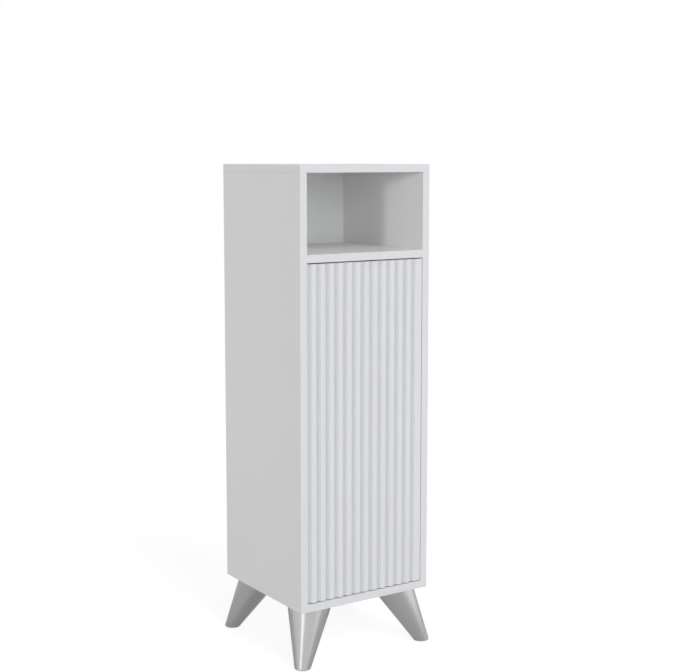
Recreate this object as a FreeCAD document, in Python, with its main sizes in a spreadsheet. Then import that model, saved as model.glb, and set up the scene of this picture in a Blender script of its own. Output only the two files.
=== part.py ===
import FreeCAD, Part
import os
import Sketcher

# Mid-height bathroom cabinet on four splayed legs: an open niche above a fluted, inset door.
# +Z is up, the front faces -Y, and the origin is on the floor under the middle of the cabinet.

driving_sizes = {
    # carcass of faced boards
    "cabinet_width": 350,
    "cabinet_depth": 345,
    "carcass_height": 1000,
    "board": 18,
    "niche_height": 178,
    "edge_band": 1,
    "edge_round": 0.7,
    "band_joint": 0.05,
    "back_thickness": 4,
    "back_inset": 10,
    "groove_depth": 8,
    "groove_play": 0.15,
    # adjustable shelves and the pins that carry them
    "shelf_door_gap": 14,
    "shelf_play": 0.8,
    "pin_inset": 45,
    "pin_hole_pitch": 32,
    "pin_plug_radius": 2.5,
    "pin_plug_length": 9,
    "pin_hole_depth": 10,
    "pin_drop": 5,
    "pin_rest_length": 8,
    "pin_rest_width": 9,
    "pin_rest_thickness": 1.5,
    "pin_back_height": 9,
    # cams, cam bolts and dowels
    "cam_radius": 7.5,
    "cam_rise": 3.5,
    "cam_setback": 24,
    "cam_slot": 6.6,
    "cam_cross": 8,
    "cam_cross_width": 1.6,
    "cam_cross_depth": 2,
    "bolt_radius": 3,
    "bolt_thread_radius": 2.5,
    "bolt_thread_length": 11,
    "bolt_neck_radius": 1.8,
    "bolt_neck_length": 5,
    "bolt_head_radius": 2.9,
    "bolt_head_length": 3,
    "shelf_cam_reach": 110,
    "cam_leg_gap": 0.5,
    "dowel_radius": 4,
    "dowel_length": 30,
    "dowel_bite": 12,
    "dowel_chamfer": 1,
    "top_dowel_reach": 110,
    "shelf_dowel_reach": 70,
    "bore_play": 0.1,
    "bore_end_play": 0.3,
    # door
    "door_thickness": 18,
    "door_side_gap": 2,
    "door_top_gap": 2.5,
    "door_bottom_gap": 2,
    "flute_pitch": 23.5,
    "flute_width": 11.7,
    "flute_depth": 5,
    "first_flute": 3.5,
    # hinges
    "hinge_inset": 100,
    "pin_from_edge": 11,
    "pin_from_cup_floor": 3.8,
    "hinge_pin_radius": 1.25,
    "hinge_pin_play": 0.05,
    "hinge_ear_play": 0.02,
    "arm_eye_radius": 2.2,
    "cup_radius": 17.5,
    "cup_edge": 5,
    "cup_cover": 1.2,
    "cup_wall": 1,
    "cup_flange": 1.2,
    "cup_flange_rim": 1.5,
    "cup_screw_offset": 9.5,
    "cup_screw_reach": 22.5,
    "cup_wing": 6,
    "cup_wing_round": 4,
    "ear_radius": 2.3,
    "ear_gap": 0.35,
    "ear_thickness": 2,
    "arm_sheet": 2.5,
    "arm_half_width": 5,
    "arm_riser_play": 2.3,
    "door_swing_play": 1.4,
    "arm_bend_round": 2.2,
    "channel_half_width": 8,
    "channel_height": 7,
    "channel_tail": 7.5,
    "channel_wall": 1.3,
    "channel_round": 3,
    "plate_thickness": 2,
    "plate_setback": 37,
    "plate_screw_reach": 16,
    "plate_half_length": 17.5,
    "plate_half_width": 9,
    "plate_wing_width": 14,
    "plate_wing_reach": 24,
    "plate_round": 2,
    "plate_boss_inset": 3,
    "plate_boss_play": 0.5,
    "plate_boss_height": 4.2,
    "arm_screw_reach": 10,
    # screws
    "small_screw_radius": 1.75,
    "small_screw_length": 12,
    "small_screw_head": 3.4,
    "small_screw_head_height": 1.8,
    "arm_screw_radius": 2,
    "arm_screw_length": 5.5,
    "arm_screw_head": 3.2,
    "arm_screw_head_height": 1.5,
    "flat_screw_radius": 1.75,
    "flat_screw_length": 15,
    "flat_screw_head": 3.6,
    "flat_screw_head_height": 2.2,
    "screw_play": 0.02,
    "screw_tip": 2,
    "screw_cross_width": 0.9,
    "screw_cross_depth": 1,
    # push latch and its strike plate
    "latch_width": 20,
    "latch_length": 58,
    "latch_half_height": 12,
    "latch_round": 2,
    "latch_flange": 3,
    "latch_flange_reach": 20,
    "latch_flange_length": 16,
    "latch_flange_start": 6,
    "latch_screw_reach": 16,
    "latch_travel": 2.5,
    "latch_end_wall": 8,
    "plunger_radius": 3.5,
    "plunger_play": 0.3,
    "plunger_length": 37,
    "plunger_tip_radius": 4.5,
    "plunger_tip_length": 3,
    "plunger_tip_round": 0.8,
    "latch_gap": 0.3,
    "latch_run_play": 0.7,
    "spring_wire_radius": 0.5,
    "spring_coil_radius": 2.5,
    "spring_pitch": 2,
    "strike_thickness": 1.5,
    "strike_half_width": 6,
    "strike_half_height": 16,
    "strike_screw_drop": 10,
    # legs
    "leg_height": 130,
    "leg_edge_gap": 8,
    "foot_inset": 9,
    "leg_top_radius": 52,
    "foot_radius": 19,
    "leg_wall": 2.5,
    "leg_gap": 1.5,
    "leg_rim": 6,
    "leg_plate_sink": 1.5,
    "leg_plate_play": 0.3,
    "leg_top_wall": 4,
    "leg_screw_inset": 12,
    "leg_boss_radius": 9,
    "leg_boss_length": 12,
    "stud_radius": 4,
    "stud_bite": 14,
    "stud_play": 0.3,
    "stud_chamfer": 0.8,
    "glide_show": 2,
    "glide_plug": 8,
    "glide_play": 0.15,
    "glide_round": 0.8,
    "cut_overrun": 1,
}

# How high the two adjustable shelves and the push latch sit in the space behind the door.
lower_shelf_share = 1 / 3
upper_shelf_share = 2 / 3
latch_height_share = 1 / 2
# Where the bottom's dowels sit between the middle of its depth and its cams.
floor_dowel_share = 0.4
spare_pin_holes = 2
screw_cross_share = 0.6
tolerance_share = 1e-6

doc = FreeCAD.newDocument("bathroom_cabinet")
sheet = doc.addObject("Spreadsheet::Sheet", "sizes")
for row, (alias, value) in enumerate(driving_sizes.items(), start=1):
    sheet.set(f"A{row}", alias)
    sheet.set(f"B{row}", str(value))
    sheet.setAlias(f"B{row}", alias)
doc.recompute()

# Shared places as formulas on the sheet. Carcass boards are drawn with x from their left end,
# y from the cabinet's front plane going back, and z from the carcass's underside.
half_width = "(sizes.cabinet_width / 2)"
half_depth = "(sizes.cabinet_depth / 2)"
inner_width = "(sizes.cabinet_width - 2 * sizes.board)"
inner_left = f"(-{inner_width} / 2)"
inner_right = f"({inner_width} / 2)"
front_plane = f"(-{half_depth})"
side_height = "(sizes.carcass_height - sizes.board)"
niche_floor = f"({side_height} - sizes.niche_height)"
niche_shelf_base = f"({niche_floor} - sizes.board)"
store_height = f"({niche_shelf_base} - sizes.board)"
mid_board = "(sizes.board / 2)"
cam_length = f"({mid_board} + sizes.cam_rise)"
back_rear = "(sizes.cabinet_depth - sizes.back_inset)"
back_front = f"({back_rear} - sizes.back_thickness)"
groove_front = f"({back_front} - sizes.groove_play)"
groove_rear = f"({back_rear} + sizes.groove_play)"
groove_floor = "(sizes.board - sizes.groove_depth)"

shelf_bases = {
    "lower": f"(sizes.board + {lower_shelf_share} * {store_height})",
    "upper": f"(sizes.board + {upper_shelf_share} * {store_height})",
}

shelf_front = "(sizes.door_thickness + sizes.shelf_door_gap)"
pin_rows = (
    f"({shelf_front} + sizes.pin_inset)",
    f"({back_front} - sizes.pin_inset)",
)

door_width = f"({inner_width} - 2 * sizes.door_side_gap)"
door_base = "(sizes.board + sizes.door_bottom_gap)"
door_top = f"({niche_shelf_base} - sizes.door_top_gap)"
door_height = f"({door_top} - {door_base})"
door_left = f"({inner_left} + sizes.door_side_gap)"

hinge_heights = {
    "lower": f"({door_base} + sizes.hinge_inset)",
    "upper": f"({door_top} - sizes.hinge_inset)",
}
cup_depth = "(sizes.door_thickness - sizes.flute_depth - sizes.cup_cover)"
pin_from_face = f"(sizes.door_thickness - {cup_depth} + sizes.pin_from_cup_floor)"
hinge_x = f"({door_left} + sizes.pin_from_edge)"
hinge_y = f"({front_plane} + {pin_from_face})"
# In a hinge's own frame the origin is on the pin's axis at mid height.
hinge_side_face = "(-(sizes.pin_from_edge + sizes.door_side_gap))"
hinge_door_back = f"({cup_depth} - sizes.pin_from_cup_floor)"
plate_face = f"({hinge_side_face} + sizes.plate_thickness)"
plate_centre = f"({hinge_door_back} + sizes.plate_setback)"
channel_top = f"({plate_face} + sizes.channel_height)"
plate_front = f"({plate_centre} - sizes.plate_half_length)"
plate_rear = f"({plate_centre} + sizes.plate_half_length)"
# The arm clears the door's rim at full swing, and the door's rear corner all the way.
riser_inner = f"({hinge_door_back} + sizes.cup_flange + sizes.arm_riser_play)"
arm_reach = f"({riser_inner} + sizes.arm_sheet)"
door_corner_swing = f"sqrt(sizes.pin_from_edge ^ 2 + {hinge_door_back} ^ 2)"
neck_end = f"({door_corner_swing} + sizes.door_swing_play)"
arm_setoff = f"({neck_end} + sizes.arm_sheet)"
cup_centre = "(sizes.cup_edge + sizes.cup_radius - sizes.pin_from_edge)"
cup_screw_x = f"({cup_centre} + sizes.cup_screw_offset)"
ear_start = "(sizes.arm_half_width + sizes.ear_gap)"
ear_end = f"({ear_start} + sizes.ear_thickness)"
arm_screw_places = (
    f"({plate_centre} - sizes.arm_screw_reach)",
    f"({plate_centre} + sizes.arm_screw_reach)",
)

latch_z = f"(sizes.board + {latch_height_share} * {store_height})"
latch_x = f"({inner_right} - sizes.latch_width / 2)"
plunger_face = "(sizes.door_thickness + sizes.strike_thickness + sizes.latch_gap)"
latch_front = (
    f"({plunger_face} + sizes.plunger_tip_length + sizes.latch_travel + sizes.latch_run_play)"
)
latch_bore_depth = "(sizes.latch_length - sizes.latch_end_wall)"
latch_screw_y = (
    f"({latch_front} + sizes.latch_flange_start + sizes.latch_flange_length / 2)"
)
strike_screw_z = f"({latch_z} - sizes.strike_screw_drop)"

leg_inset = "(sizes.leg_edge_gap + sizes.leg_top_radius)"
leg_plate_thickness = "(sizes.leg_gap + sizes.leg_plate_sink)"
leg_foot_level = "(sizes.leg_height - sizes.glide_show)"
foot_shift = f"({leg_inset} - sizes.foot_inset)"
leg_length = f"({leg_foot_level} - sizes.leg_gap)"
leg_plate_radius = "(sizes.leg_top_radius - sizes.leg_rim)"
leg_screw_step = f"(({leg_plate_radius} - sizes.leg_screw_inset) * sqrt(2) / 2)"
# The bottom's cams sit just clear of the legs, on the side towards the middle.
floor_cam_inset = f"({leg_inset} + sizes.leg_top_radius + sizes.cam_leg_gap + sizes.cam_radius)"
floor_cam_reach = f"({half_depth} - {floor_cam_inset})"
floor_dowel_reach = f"({floor_dowel_share} * {floor_cam_reach})"

x_axis = FreeCAD.Vector(1, 0, 0)
y_axis = FreeCAD.Vector(0, 1, 0)
z_axis = FreeCAD.Vector(0, 0, 1)
upward = FreeCAD.Rotation()
leftward = FreeCAD.Rotation(y_axis, -90)
rightward = FreeCAD.Rotation(y_axis, 90)
frontward = FreeCAD.Rotation(x_axis, 90)
half_turn = FreeCAD.Rotation(z_axis, 180)

origin_planes = {"x": "YZ_Plane", "y": "XZ_Plane", "z": "XY_Plane"}
along_normal = ("+x", "-y", "+z")
pieces = []


def number(formula):
    """The value that a formula has now, as a plain number."""
    value = sheet.evalExpression(formula)
    return float(getattr(value, "Value", value))


def new_body(label):
    body = doc.addObject("PartDesign::Body", label)
    body.Label = label
    return body


def place(item, x, y, z):
    item.setExpression("Placement.Base.x", x)
    item.setExpression("Placement.Base.y", y)
    item.setExpression("Placement.Base.z", z)


def keep(item, x, y, z):
    """Puts a finished sub-part in its place and lists it for writing."""
    place(item, x, y, z)
    pieces.append(item)
    return item


def keep_together(label, solids):
    """Lists several solids as one sub-part."""
    group = doc.addObject("Part::Compound", label)
    group.Label = label
    group.Links = solids
    pieces.append(group)
    doc.recompute()


def sketch_across(body, axis, start):
    """A sketch on the body's own origin plane across an axis, moved to a start along it."""
    sketch = body.newObject("Sketcher::SketchObject", "sketch")
    role = origin_planes[axis]
    plane = next(item for item in body.Origin.OriginFeatures if item.Role == role)
    sketch.AttachmentSupport = (plane, [""])
    sketch.MapMode = "FlatFace"
    offset = f"-({start})" if axis == "y" else start
    sketch.setExpression(".AttachmentOffset.Base.z", offset)
    return sketch


def bind(sketch, constraint, formula):
    index = sketch.addConstraint(constraint)
    sketch.setExpression(f"Constraints[{index}]", formula)


def outline(sketch, corners):
    """A closed outline of straight lines, each corner tied to the sheet."""
    first = sketch.GeometryCount
    points = [(number(u), number(v)) for u, v in corners]
    count = len(points)
    for index in range(count):
        start = FreeCAD.Vector(*points[index], 0)
        end = FreeCAD.Vector(*points[(index + 1) % count], 0)
        sketch.addGeometry(Part.LineSegment(start, end))
    for index in range(count):
        line = first + index
        following = first + (index + 1) % count
        sketch.addConstraint(Sketcher.Constraint("Coincident", line, 2, following, 1))
        across = Sketcher.Constraint("DistanceX", -1, 1, line, 1, points[index][0])
        bind(sketch, across, corners[index][0])
        up = Sketcher.Constraint("DistanceY", -1, 1, line, 1, points[index][1])
        bind(sketch, up, corners[index][1])


def rectangle(sketch, left, bottom, right, top):
    outline(sketch, [(left, bottom), (right, bottom), (right, top), (left, top)])


def rings(sketch, centres, radius):
    """Circles of one radius, each centre tied to the sheet."""
    for u, v in centres:
        middle = FreeCAD.Vector(number(u), number(v), 0)
        circle = sketch.addGeometry(Part.Circle(middle, z_axis, number(radius)))
        across = Sketcher.Constraint("DistanceX", -1, 1, circle, 3, middle.x)
        bind(sketch, across, u)
        up = Sketcher.Constraint("DistanceY", -1, 1, circle, 3, middle.y)
        bind(sketch, up, v)
        bind(sketch, Sketcher.Constraint("Radius", circle, number(radius)), radius)


def settle(body, feature):
    """Makes a new feature the body's tip and brings both up to date."""
    doc.recompute()
    body.Tip = feature
    doc.recompute()
    return feature


def pad(body, name, sketch, toward, length):
    feature = body.newObject("PartDesign::Pad", name)
    feature.Profile = sketch
    feature.Reversed = toward not in along_normal
    feature.setExpression("Length", length)
    sketch.Visibility = False
    return settle(body, feature)


def pocket(body, name, sketch, toward, depth):
    """Cuts a sketch into the body and makes sure that something was cut."""
    before = body.Shape.Volume
    feature = body.newObject("PartDesign::Pocket", name)
    feature.Profile = sketch
    feature.Reversed = toward in along_normal
    feature.setExpression("Length", depth)
    sketch.Visibility = False
    settle(body, feature)
    if body.Shape.Volume > before * (1 - tolerance_share):
        raise RuntimeError(f"{name} in {body.Label} cut nothing")
    return feature


def block(body, name, low, high):
    """A rectangular pad from its lowest corner to its highest."""
    sketch = sketch_across(body, "z", low[2])
    rectangle(sketch, low[0], low[1], high[0], high[1])
    return pad(body, name, sketch, "+z", f"({high[2]}) - ({low[2]})")


def cut_block(body, name, low, high):
    """A rectangular pocket from its lowest corner to its highest."""
    sketch = sketch_across(body, "z", low[2])
    rectangle(sketch, low[0], low[1], high[0], high[1])
    return pocket(body, name, sketch, "+z", f"({high[2]}) - ({low[2]})")


def discs(body, name, toward, start, length, radius, centres):
    sketch = sketch_across(body, toward[1], start)
    rings(sketch, centres, radius)
    return pad(body, name, sketch, toward, length)


def bores(body, name, toward, start, depth, radius, centres):
    sketch = sketch_across(body, toward[1], start)
    rings(sketch, centres, radius)
    return pocket(body, name, sketch, toward, depth)


def turned(body, name, corners):
    """Revolves an outline given as (radius, height) about the body's Z axis."""
    sketch = sketch_across(body, "y", "0")
    outline(sketch, corners)
    feature = body.newObject("PartDesign::Revolution", name)
    feature.Profile = sketch
    feature.ReferenceAxis = (sketch, ["V_Axis"])
    feature.Angle = 360
    sketch.Visibility = False
    return settle(body, feature)


def round_edges(body, name, radius, chosen):
    edges = [f"Edge{n}" for n, edge in enumerate(body.Shape.Edges, start=1) if chosen(edge)]
    if not edges:
        raise RuntimeError(f"{name} in {body.Label} found no edge")
    base = body.Tip
    feature = body.newObject("PartDesign::Fillet", name)
    feature.Base = (base, edges)
    feature.setExpression("Radius", radius)
    return settle(body, feature)


def lies_on(edge, axis, level):
    """True where the whole edge lies in the plane across an axis at a level."""
    reach = number("sizes.cabinet_width") * tolerance_share
    return all(abs(getattr(vertex, axis) - level) < reach for vertex in edge.Vertexes)


def runs_along(edge, axis):
    """True for a straight edge along an axis."""
    if len(edge.Vertexes) != 2 or not isinstance(edge.Curve, Part.Line):
        return False
    return abs(abs(edge.Curve.Direction.dot(axis)) - 1) < tolerance_share


def copies(label, master, places):
    """One sub-part of several equal solids, each a linked copy of the master."""
    links = []
    for index, (x, y, z, turn) in enumerate(places, start=1):
        link = doc.addObject("App::Link", f"{label}_{index}")
        link.LinkedObject = master
        link.LinkTransform = False
        link.Placement = FreeCAD.Placement(FreeCAD.Vector(), turn)
        place(link, x, y, z)
        links.append(link)
    keep_together(label, links)


def both_sides(reach):
    """The two places at a reach before and behind the middle of the depth."""
    return [f"({half_depth} - {reach})", f"({half_depth} + {reach})"]


def joint_rows(shelf_reach, floor_reach):
    """Where bolts or dowels enter the sides: (depth, height) for the niche shelf and bottom."""
    shelf_level = f"({niche_shelf_base} + {mid_board})"
    rows = [(y, shelf_level) for y in both_sides(shelf_reach)]
    return rows + [(y, mid_board) for y in both_sides(floor_reach)]


cam_rows = joint_rows("sizes.shelf_cam_reach", floor_cam_reach)
dowel_rows = joint_rows("sizes.shelf_dowel_reach", floor_dowel_reach)
top_dowel_rows = both_sides("sizes.top_dowel_reach") + [half_depth]
dowel_bore_radius = "sizes.dowel_radius + sizes.bore_play"
dowel_face_depth = "sizes.dowel_bite + sizes.bore_end_play"
dowel_end_depth = "sizes.dowel_length - sizes.dowel_bite + sizes.bore_end_play"
small_screw_bore = "sizes.small_screw_radius + sizes.screw_play"


def pin_hole_rows():
    """Holes for the shelf pins: a few spare ones above and below each shelf's own."""
    rows = []
    for base in shelf_bases.values():
        for step in range(-spare_pin_holes, spare_pin_holes + 1):
            level = f"({base} - sizes.pin_drop + {step} * sizes.pin_hole_pitch)"
            rows.extend((row, level) for row in pin_rows)
    return rows


def side_panel(label, left, face, toward, fitting_holes):
    """A side board, bored from its inner face."""
    body = new_body(label)
    block(body, "core", ("0", "sizes.edge_band", "0"),
          ("sizes.board", "sizes.cabinet_depth", side_height))
    groove_start = face if toward == "+x" else groove_floor
    groove_end = "sizes.groove_depth" if toward == "+x" else face
    cut_block(body, "back_groove", (groove_start, groove_front, "0"),
              (groove_end, groove_rear, side_height))
    bores(body, "cam_bolt_holes", toward, face, "sizes.bolt_thread_length + sizes.bore_end_play",
          "sizes.bolt_thread_radius + sizes.bore_play", cam_rows)
    bores(body, "dowel_holes", toward, face, dowel_face_depth, dowel_bore_radius, dowel_rows)
    bores(body, "shelf_pin_holes", toward, face, "sizes.pin_hole_depth",
          "sizes.pin_plug_radius + sizes.bore_play", pin_hole_rows())
    top_centres = [(mid_board, y) for y in top_dowel_rows]
    bores(body, "top_dowel_holes", "-z", side_height, dowel_end_depth, dowel_bore_radius,
          top_centres)
    bores(body, "fitting_screw_holes", toward, face, "sizes.small_screw_length",
          small_screw_bore, fitting_holes)
    return keep(body, left, front_plane, "sizes.leg_height")


def edge_strip(label, low, high, origin, rounded):
    """A band glued on a board's edge, its outer arrises rounded."""
    body = new_body(label)
    block(body, "strip", low, high)
    round_edges(body, "arrises", "sizes.edge_round", rounded)
    place(body, *origin)
    return body


def front_arris(axis):
    """Chooses the long edges of a strip's front face."""
    return lambda edge: runs_along(edge, axis) and lies_on(edge, "Y", 0)


def side_edge_band(label, left):
    band = edge_strip(label, ("0", "0", "0"), ("sizes.board", "sizes.edge_band", side_height),
                      (left, front_plane, "sizes.leg_height"), front_arris(z_axis))
    pieces.append(band)


def top_panel():
    """The top board covers both sides, with a blind groove for the back."""
    body = new_body("top_panel")
    far_end = "sizes.cabinet_width - sizes.edge_band"
    block(body, "core", ("sizes.edge_band", "sizes.edge_band", "0"),
          (far_end, "sizes.cabinet_depth", "sizes.board"))
    cut_block(body, "back_groove", (groove_floor, groove_front, "0"),
              (f"sizes.cabinet_width - {groove_floor}", groove_rear, "sizes.groove_depth"))
    centres = [(mid_board, y) for y in top_dowel_rows]
    centres += [(f"sizes.cabinet_width - {mid_board}", y) for y in top_dowel_rows]
    bores(body, "dowel_holes", "+z", "0", dowel_face_depth, dowel_bore_radius, centres)
    return keep(body, f"-{half_width}", front_plane, f"sizes.leg_height + {side_height}")


def top_panel_edge_bands():
    """One band across the front and one along each end, with a hairline joint between."""
    base = f"sizes.leg_height + {side_height}"
    thickness = number("sizes.edge_band")
    end_start = "sizes.edge_band + sizes.band_joint"
    front = edge_strip("top_front_band", ("0", "0", "0"),
                       ("sizes.cabinet_width", "sizes.edge_band", "sizes.board"),
                       (f"-{half_width}", front_plane, base),
                       lambda edge: not lies_on(edge, "Y", thickness))
    ends = []
    for name, outer, left in (("top_left_band", 0, f"-{half_width}"),
                              ("top_right_band", thickness, f"{half_width} - sizes.edge_band")):
        ends.append(edge_strip(name, ("0", end_start, "0"),
                               ("sizes.edge_band", "sizes.cabinet_depth", "sizes.board"),
                               (left, front_plane, base),
                               lambda edge, x=outer: runs_along(edge, y_axis)
                               and lies_on(edge, "X", x)))
    keep_together("top_panel_edge_bands", [front] + ends)


def jointed_board(label, depth, cam_reach, dowel_reach):
    """A fixed board between the sides, with cams let in from below."""
    body = new_body(label)
    block(body, "core", ("0", "sizes.edge_band", "0"), (inner_width, depth, "sizes.board"))
    cam_places = ("sizes.cam_setback", f"{inner_width} - sizes.cam_setback")
    cam_centres = [(x, y) for x in cam_places for y in both_sides(cam_reach)]
    bores(body, "cam_bores", "+z", "0", f"{cam_length} + sizes.bore_end_play",
          "sizes.cam_radius + sizes.bore_play", cam_centres)
    bolt_centres = [(y, mid_board) for y in both_sides(cam_reach)]
    dowel_centres = [(y, mid_board) for y in both_sides(dowel_reach)]
    for name, toward, start in (("left", "+x", "0"), ("right", "-x", inner_width)):
        bores(body, f"{name}_bolt_bores", toward, start, "sizes.cam_setback",
              "sizes.bolt_radius + sizes.bore_play", bolt_centres)
        bores(body, f"{name}_dowel_holes", toward, start, dowel_end_depth,
              dowel_bore_radius, dowel_centres)
    return body


def bottom_panel():
    body = jointed_board("bottom_panel", "sizes.cabinet_depth", floor_cam_reach,
                         floor_dowel_reach)
    cut_block(body, "back_groove", ("0", groove_front, groove_floor),
              (inner_width, groove_rear, "sizes.board"))
    studs = []
    screws = []
    for x in (f"{leg_inset} - sizes.board", f"{inner_width} + sizes.board - {leg_inset}"):
        for y in (leg_inset, f"sizes.cabinet_depth - {leg_inset}"):
            studs.append((x, y))
            for across in ("-", "+"):
                for along in ("-", "+"):
                    screws.append((f"{x} {across} {leg_screw_step}",
                                   f"{y} {along} {leg_screw_step}"))
    bores(body, "stud_bores", "+z", "0", "sizes.stud_bite + sizes.bore_end_play",
          "sizes.stud_radius + sizes.stud_play", studs)
    bores(body, "leg_screw_holes", "+z", "0",
          f"sizes.flat_screw_length - {leg_plate_thickness} + sizes.bore_end_play",
          "sizes.flat_screw_radius + sizes.screw_play", screws)
    return keep(body, inner_left, front_plane, "sizes.leg_height")


def niche_shelf():
    body = jointed_board("niche_shelf", groove_front, "sizes.shelf_cam_reach",
                         "sizes.shelf_dowel_reach")
    return keep(body, inner_left, front_plane, f"sizes.leg_height + {niche_shelf_base}")


def cross_edge_band(label, base):
    """The band on the front of a board between the sides."""
    band = edge_strip(label, ("0", "0", "0"), (inner_width, "sizes.edge_band", "sizes.board"),
                      (inner_left, front_plane, f"sizes.leg_height + {base}"),
                      front_arris(x_axis))
    pieces.append(band)


def back_panel():
    """A thin board held in the grooves all round."""
    body = new_body("back_panel")
    edge = f"({groove_floor} + sizes.groove_play)"
    block(body, "sheet", (edge, back_front, edge),
          (f"sizes.cabinet_width - {edge}", back_rear, f"sizes.carcass_height - {edge}"))
    return keep(body, f"-{half_width}", front_plane, "sizes.leg_height")


def adjustable_shelves():
    """Two loose shelves on pins, and the bands on their front edges."""
    width = f"({inner_width} - 2 * sizes.shelf_play)"
    band_end = f"({shelf_front} + sizes.edge_band)"
    band_front = number(shelf_front)
    bands = []
    for name, base in shelf_bases.items():
        level = f"sizes.leg_height + {base}"
        left = f"{inner_left} + sizes.shelf_play"
        body = new_body(f"adjustable_shelf_{name}")
        block(body, "core", ("0", band_end, "0"),
              (width, f"{back_front} - sizes.shelf_play", "sizes.board"))
        keep(body, left, front_plane, level)
        bands.append(edge_strip(f"{name}_shelf_band", ("0", shelf_front, "0"),
                                (width, band_end, "sizes.board"), (left, front_plane, level),
                                lambda edge: runs_along(edge, x_axis)
                                and lies_on(edge, "Y", band_front)))
    keep_together("adjustable_shelf_edge_bands", bands)


def shelf_pins():
    """Pins with a flat rest on top; the plug points to the left, the top is at the shelf."""
    pin = new_body("shelf_pin")
    half_rest = "sizes.pin_rest_width / 2"
    block(pin, "rest", ("0", f"-{half_rest}", "-sizes.pin_rest_thickness"),
          ("sizes.pin_rest_length", half_rest, "0"))
    block(pin, "back", ("0", f"-{half_rest}", "-sizes.pin_back_height"),
          ("sizes.pin_rest_thickness", half_rest, "0"))
    discs(pin, "plug", "-x", "0", "sizes.pin_plug_length", "sizes.pin_plug_radius",
          [("0", "-sizes.pin_drop")])
    places = []
    for base in shelf_bases.values():
        for row in pin_rows:
            y = f"{front_plane} + {row}"
            z = f"sizes.leg_height + {base}"
            places.append((inner_left, y, z, upward))
            places.append((inner_right, y, z, half_turn))
    copies("shelf_pins", pin, places)


def joint_places(level_rows, into):
    """Places on both inner side faces, moved into the boards by a distance."""
    places = []
    for y, level in level_rows:
        depth = f"{front_plane} + {y}"
        z = f"sizes.leg_height + {level}"
        places.append((f"{inner_left} + {into}", depth, z, upward))
        places.append((f"{inner_right} - {into}", depth, z, half_turn))
    return places


def cam_locks():
    """Cams with a slot for the bolt's head on the left and a driver cross below."""
    cam = new_body("cam")
    discs(cam, "barrel", "+z", "0", cam_length, "sizes.cam_radius", [("0", "0")])
    half_slot = "sizes.cam_slot / 2"
    cut_block(cam, "bolt_slot", ("-sizes.cam_radius - sizes.cut_overrun", f"-{half_slot}",
                                 f"{mid_board} - {half_slot}"),
              ("sizes.bolt_head_length", half_slot, f"{cam_length} + sizes.cut_overrun"))
    half_cross = "(sizes.cam_cross / 2)"
    half_arm = "(sizes.cam_cross_width / 2)"
    cut_block(cam, "cross_one", (f"-{half_cross}", f"-{half_arm}", "0"),
              (half_cross, half_arm, "sizes.cam_cross_depth"))
    cut_block(cam, "cross_two", (f"-{half_arm}", f"-{half_cross}", "0"),
              (half_arm, half_cross, "sizes.cam_cross_depth"))
    low_rows = [(y, f"{level} - {mid_board}") for y, level in cam_rows]
    copies("cam_locks", cam, joint_places(low_rows, "sizes.cam_setback"))


def cam_bolts():
    """Bolts screwed into the sides, whose heads the cams draw in."""
    bolt = new_body("cam_bolt")
    head_start = "(sizes.cam_setback - sizes.bolt_head_length / 2)"
    head_end = f"({head_start} + sizes.bolt_head_length)"
    neck_start = f"({head_start} - sizes.bolt_neck_length)"
    turned(bolt, "profile", [
        ("0", "-sizes.bolt_thread_length"),
        ("sizes.bolt_thread_radius", "-sizes.bolt_thread_length"),
        ("sizes.bolt_thread_radius", "0"),
        ("sizes.bolt_radius", "0"),
        ("sizes.bolt_radius", neck_start),
        ("sizes.bolt_neck_radius", neck_start),
        ("sizes.bolt_neck_radius", head_start),
        ("sizes.bolt_head_radius", head_start),
        ("sizes.bolt_head_radius", head_end),
        ("0", head_end),
    ])
    places = []
    for x, y, z, turn in joint_places(cam_rows, "0"):
        places.append((x, y, z, rightward if turn == upward else leftward))
    copies("cam_bolts", bolt, places)


def wood_dowels():
    """Dowels with chamfered ends; the origin is at the joint, the longer end points up."""
    dowel = new_body("dowel")
    rim = "(sizes.dowel_radius - sizes.dowel_chamfer)"
    far_end = "(sizes.dowel_length - sizes.dowel_bite)"
    turned(dowel, "profile", [
        ("0", "-sizes.dowel_bite"),
        (rim, "-sizes.dowel_bite"),
        ("sizes.dowel_radius", "-sizes.dowel_bite + sizes.dowel_chamfer"),
        ("sizes.dowel_radius", f"{far_end} - sizes.dowel_chamfer"),
        (rim, far_end),
        ("0", far_end),
    ])
    downward = FreeCAD.Rotation(x_axis, 180)
    places = []
    for x, y, z, turn in joint_places(dowel_rows, "0"):
        places.append((x, y, z, rightward if turn == upward else leftward))
    for row in top_dowel_rows:
        for x in (f"-{half_width} + {mid_board}", f"{half_width} - {mid_board}"):
            places.append((x, f"{front_plane} + {row}", f"sizes.leg_height + {side_height}",
                           downward))
    copies("wood_dowels", dowel, places)


def screw_master(name, kind, countersunk):
    """A screw pointing up from its seat at z = 0, with a cross in its head."""
    body = new_body(name)
    shank = f"sizes.{kind}_screw_radius"
    head = f"sizes.{kind}_screw_head"
    head_height = f"sizes.{kind}_screw_head_height"
    length = f"sizes.{kind}_screw_length"
    tip = f"{length} - sizes.screw_tip"
    if countersunk:
        base = "0"
        corners = [("0", "0"), (head, "0"), (shank, head_height)]
    else:
        base = f"-{head_height}"
        corners = [("0", base), (head, base), (head, "0"), (shank, "0")]
    corners += [(shank, tip), ("0", length)]
    turned(body, "profile", corners)
    half_arm = "(sizes.screw_cross_width / 2)"
    half_cross = f"({head} * {screw_cross_share})"
    for part, across, along in (("cross_one", half_cross, half_arm),
                                ("cross_two", half_arm, half_cross)):
        cut_block(body, part, (f"-{across}", f"-{along}", base),
                  (across, along, f"{base} + sizes.screw_cross_depth"))
    return body


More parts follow.
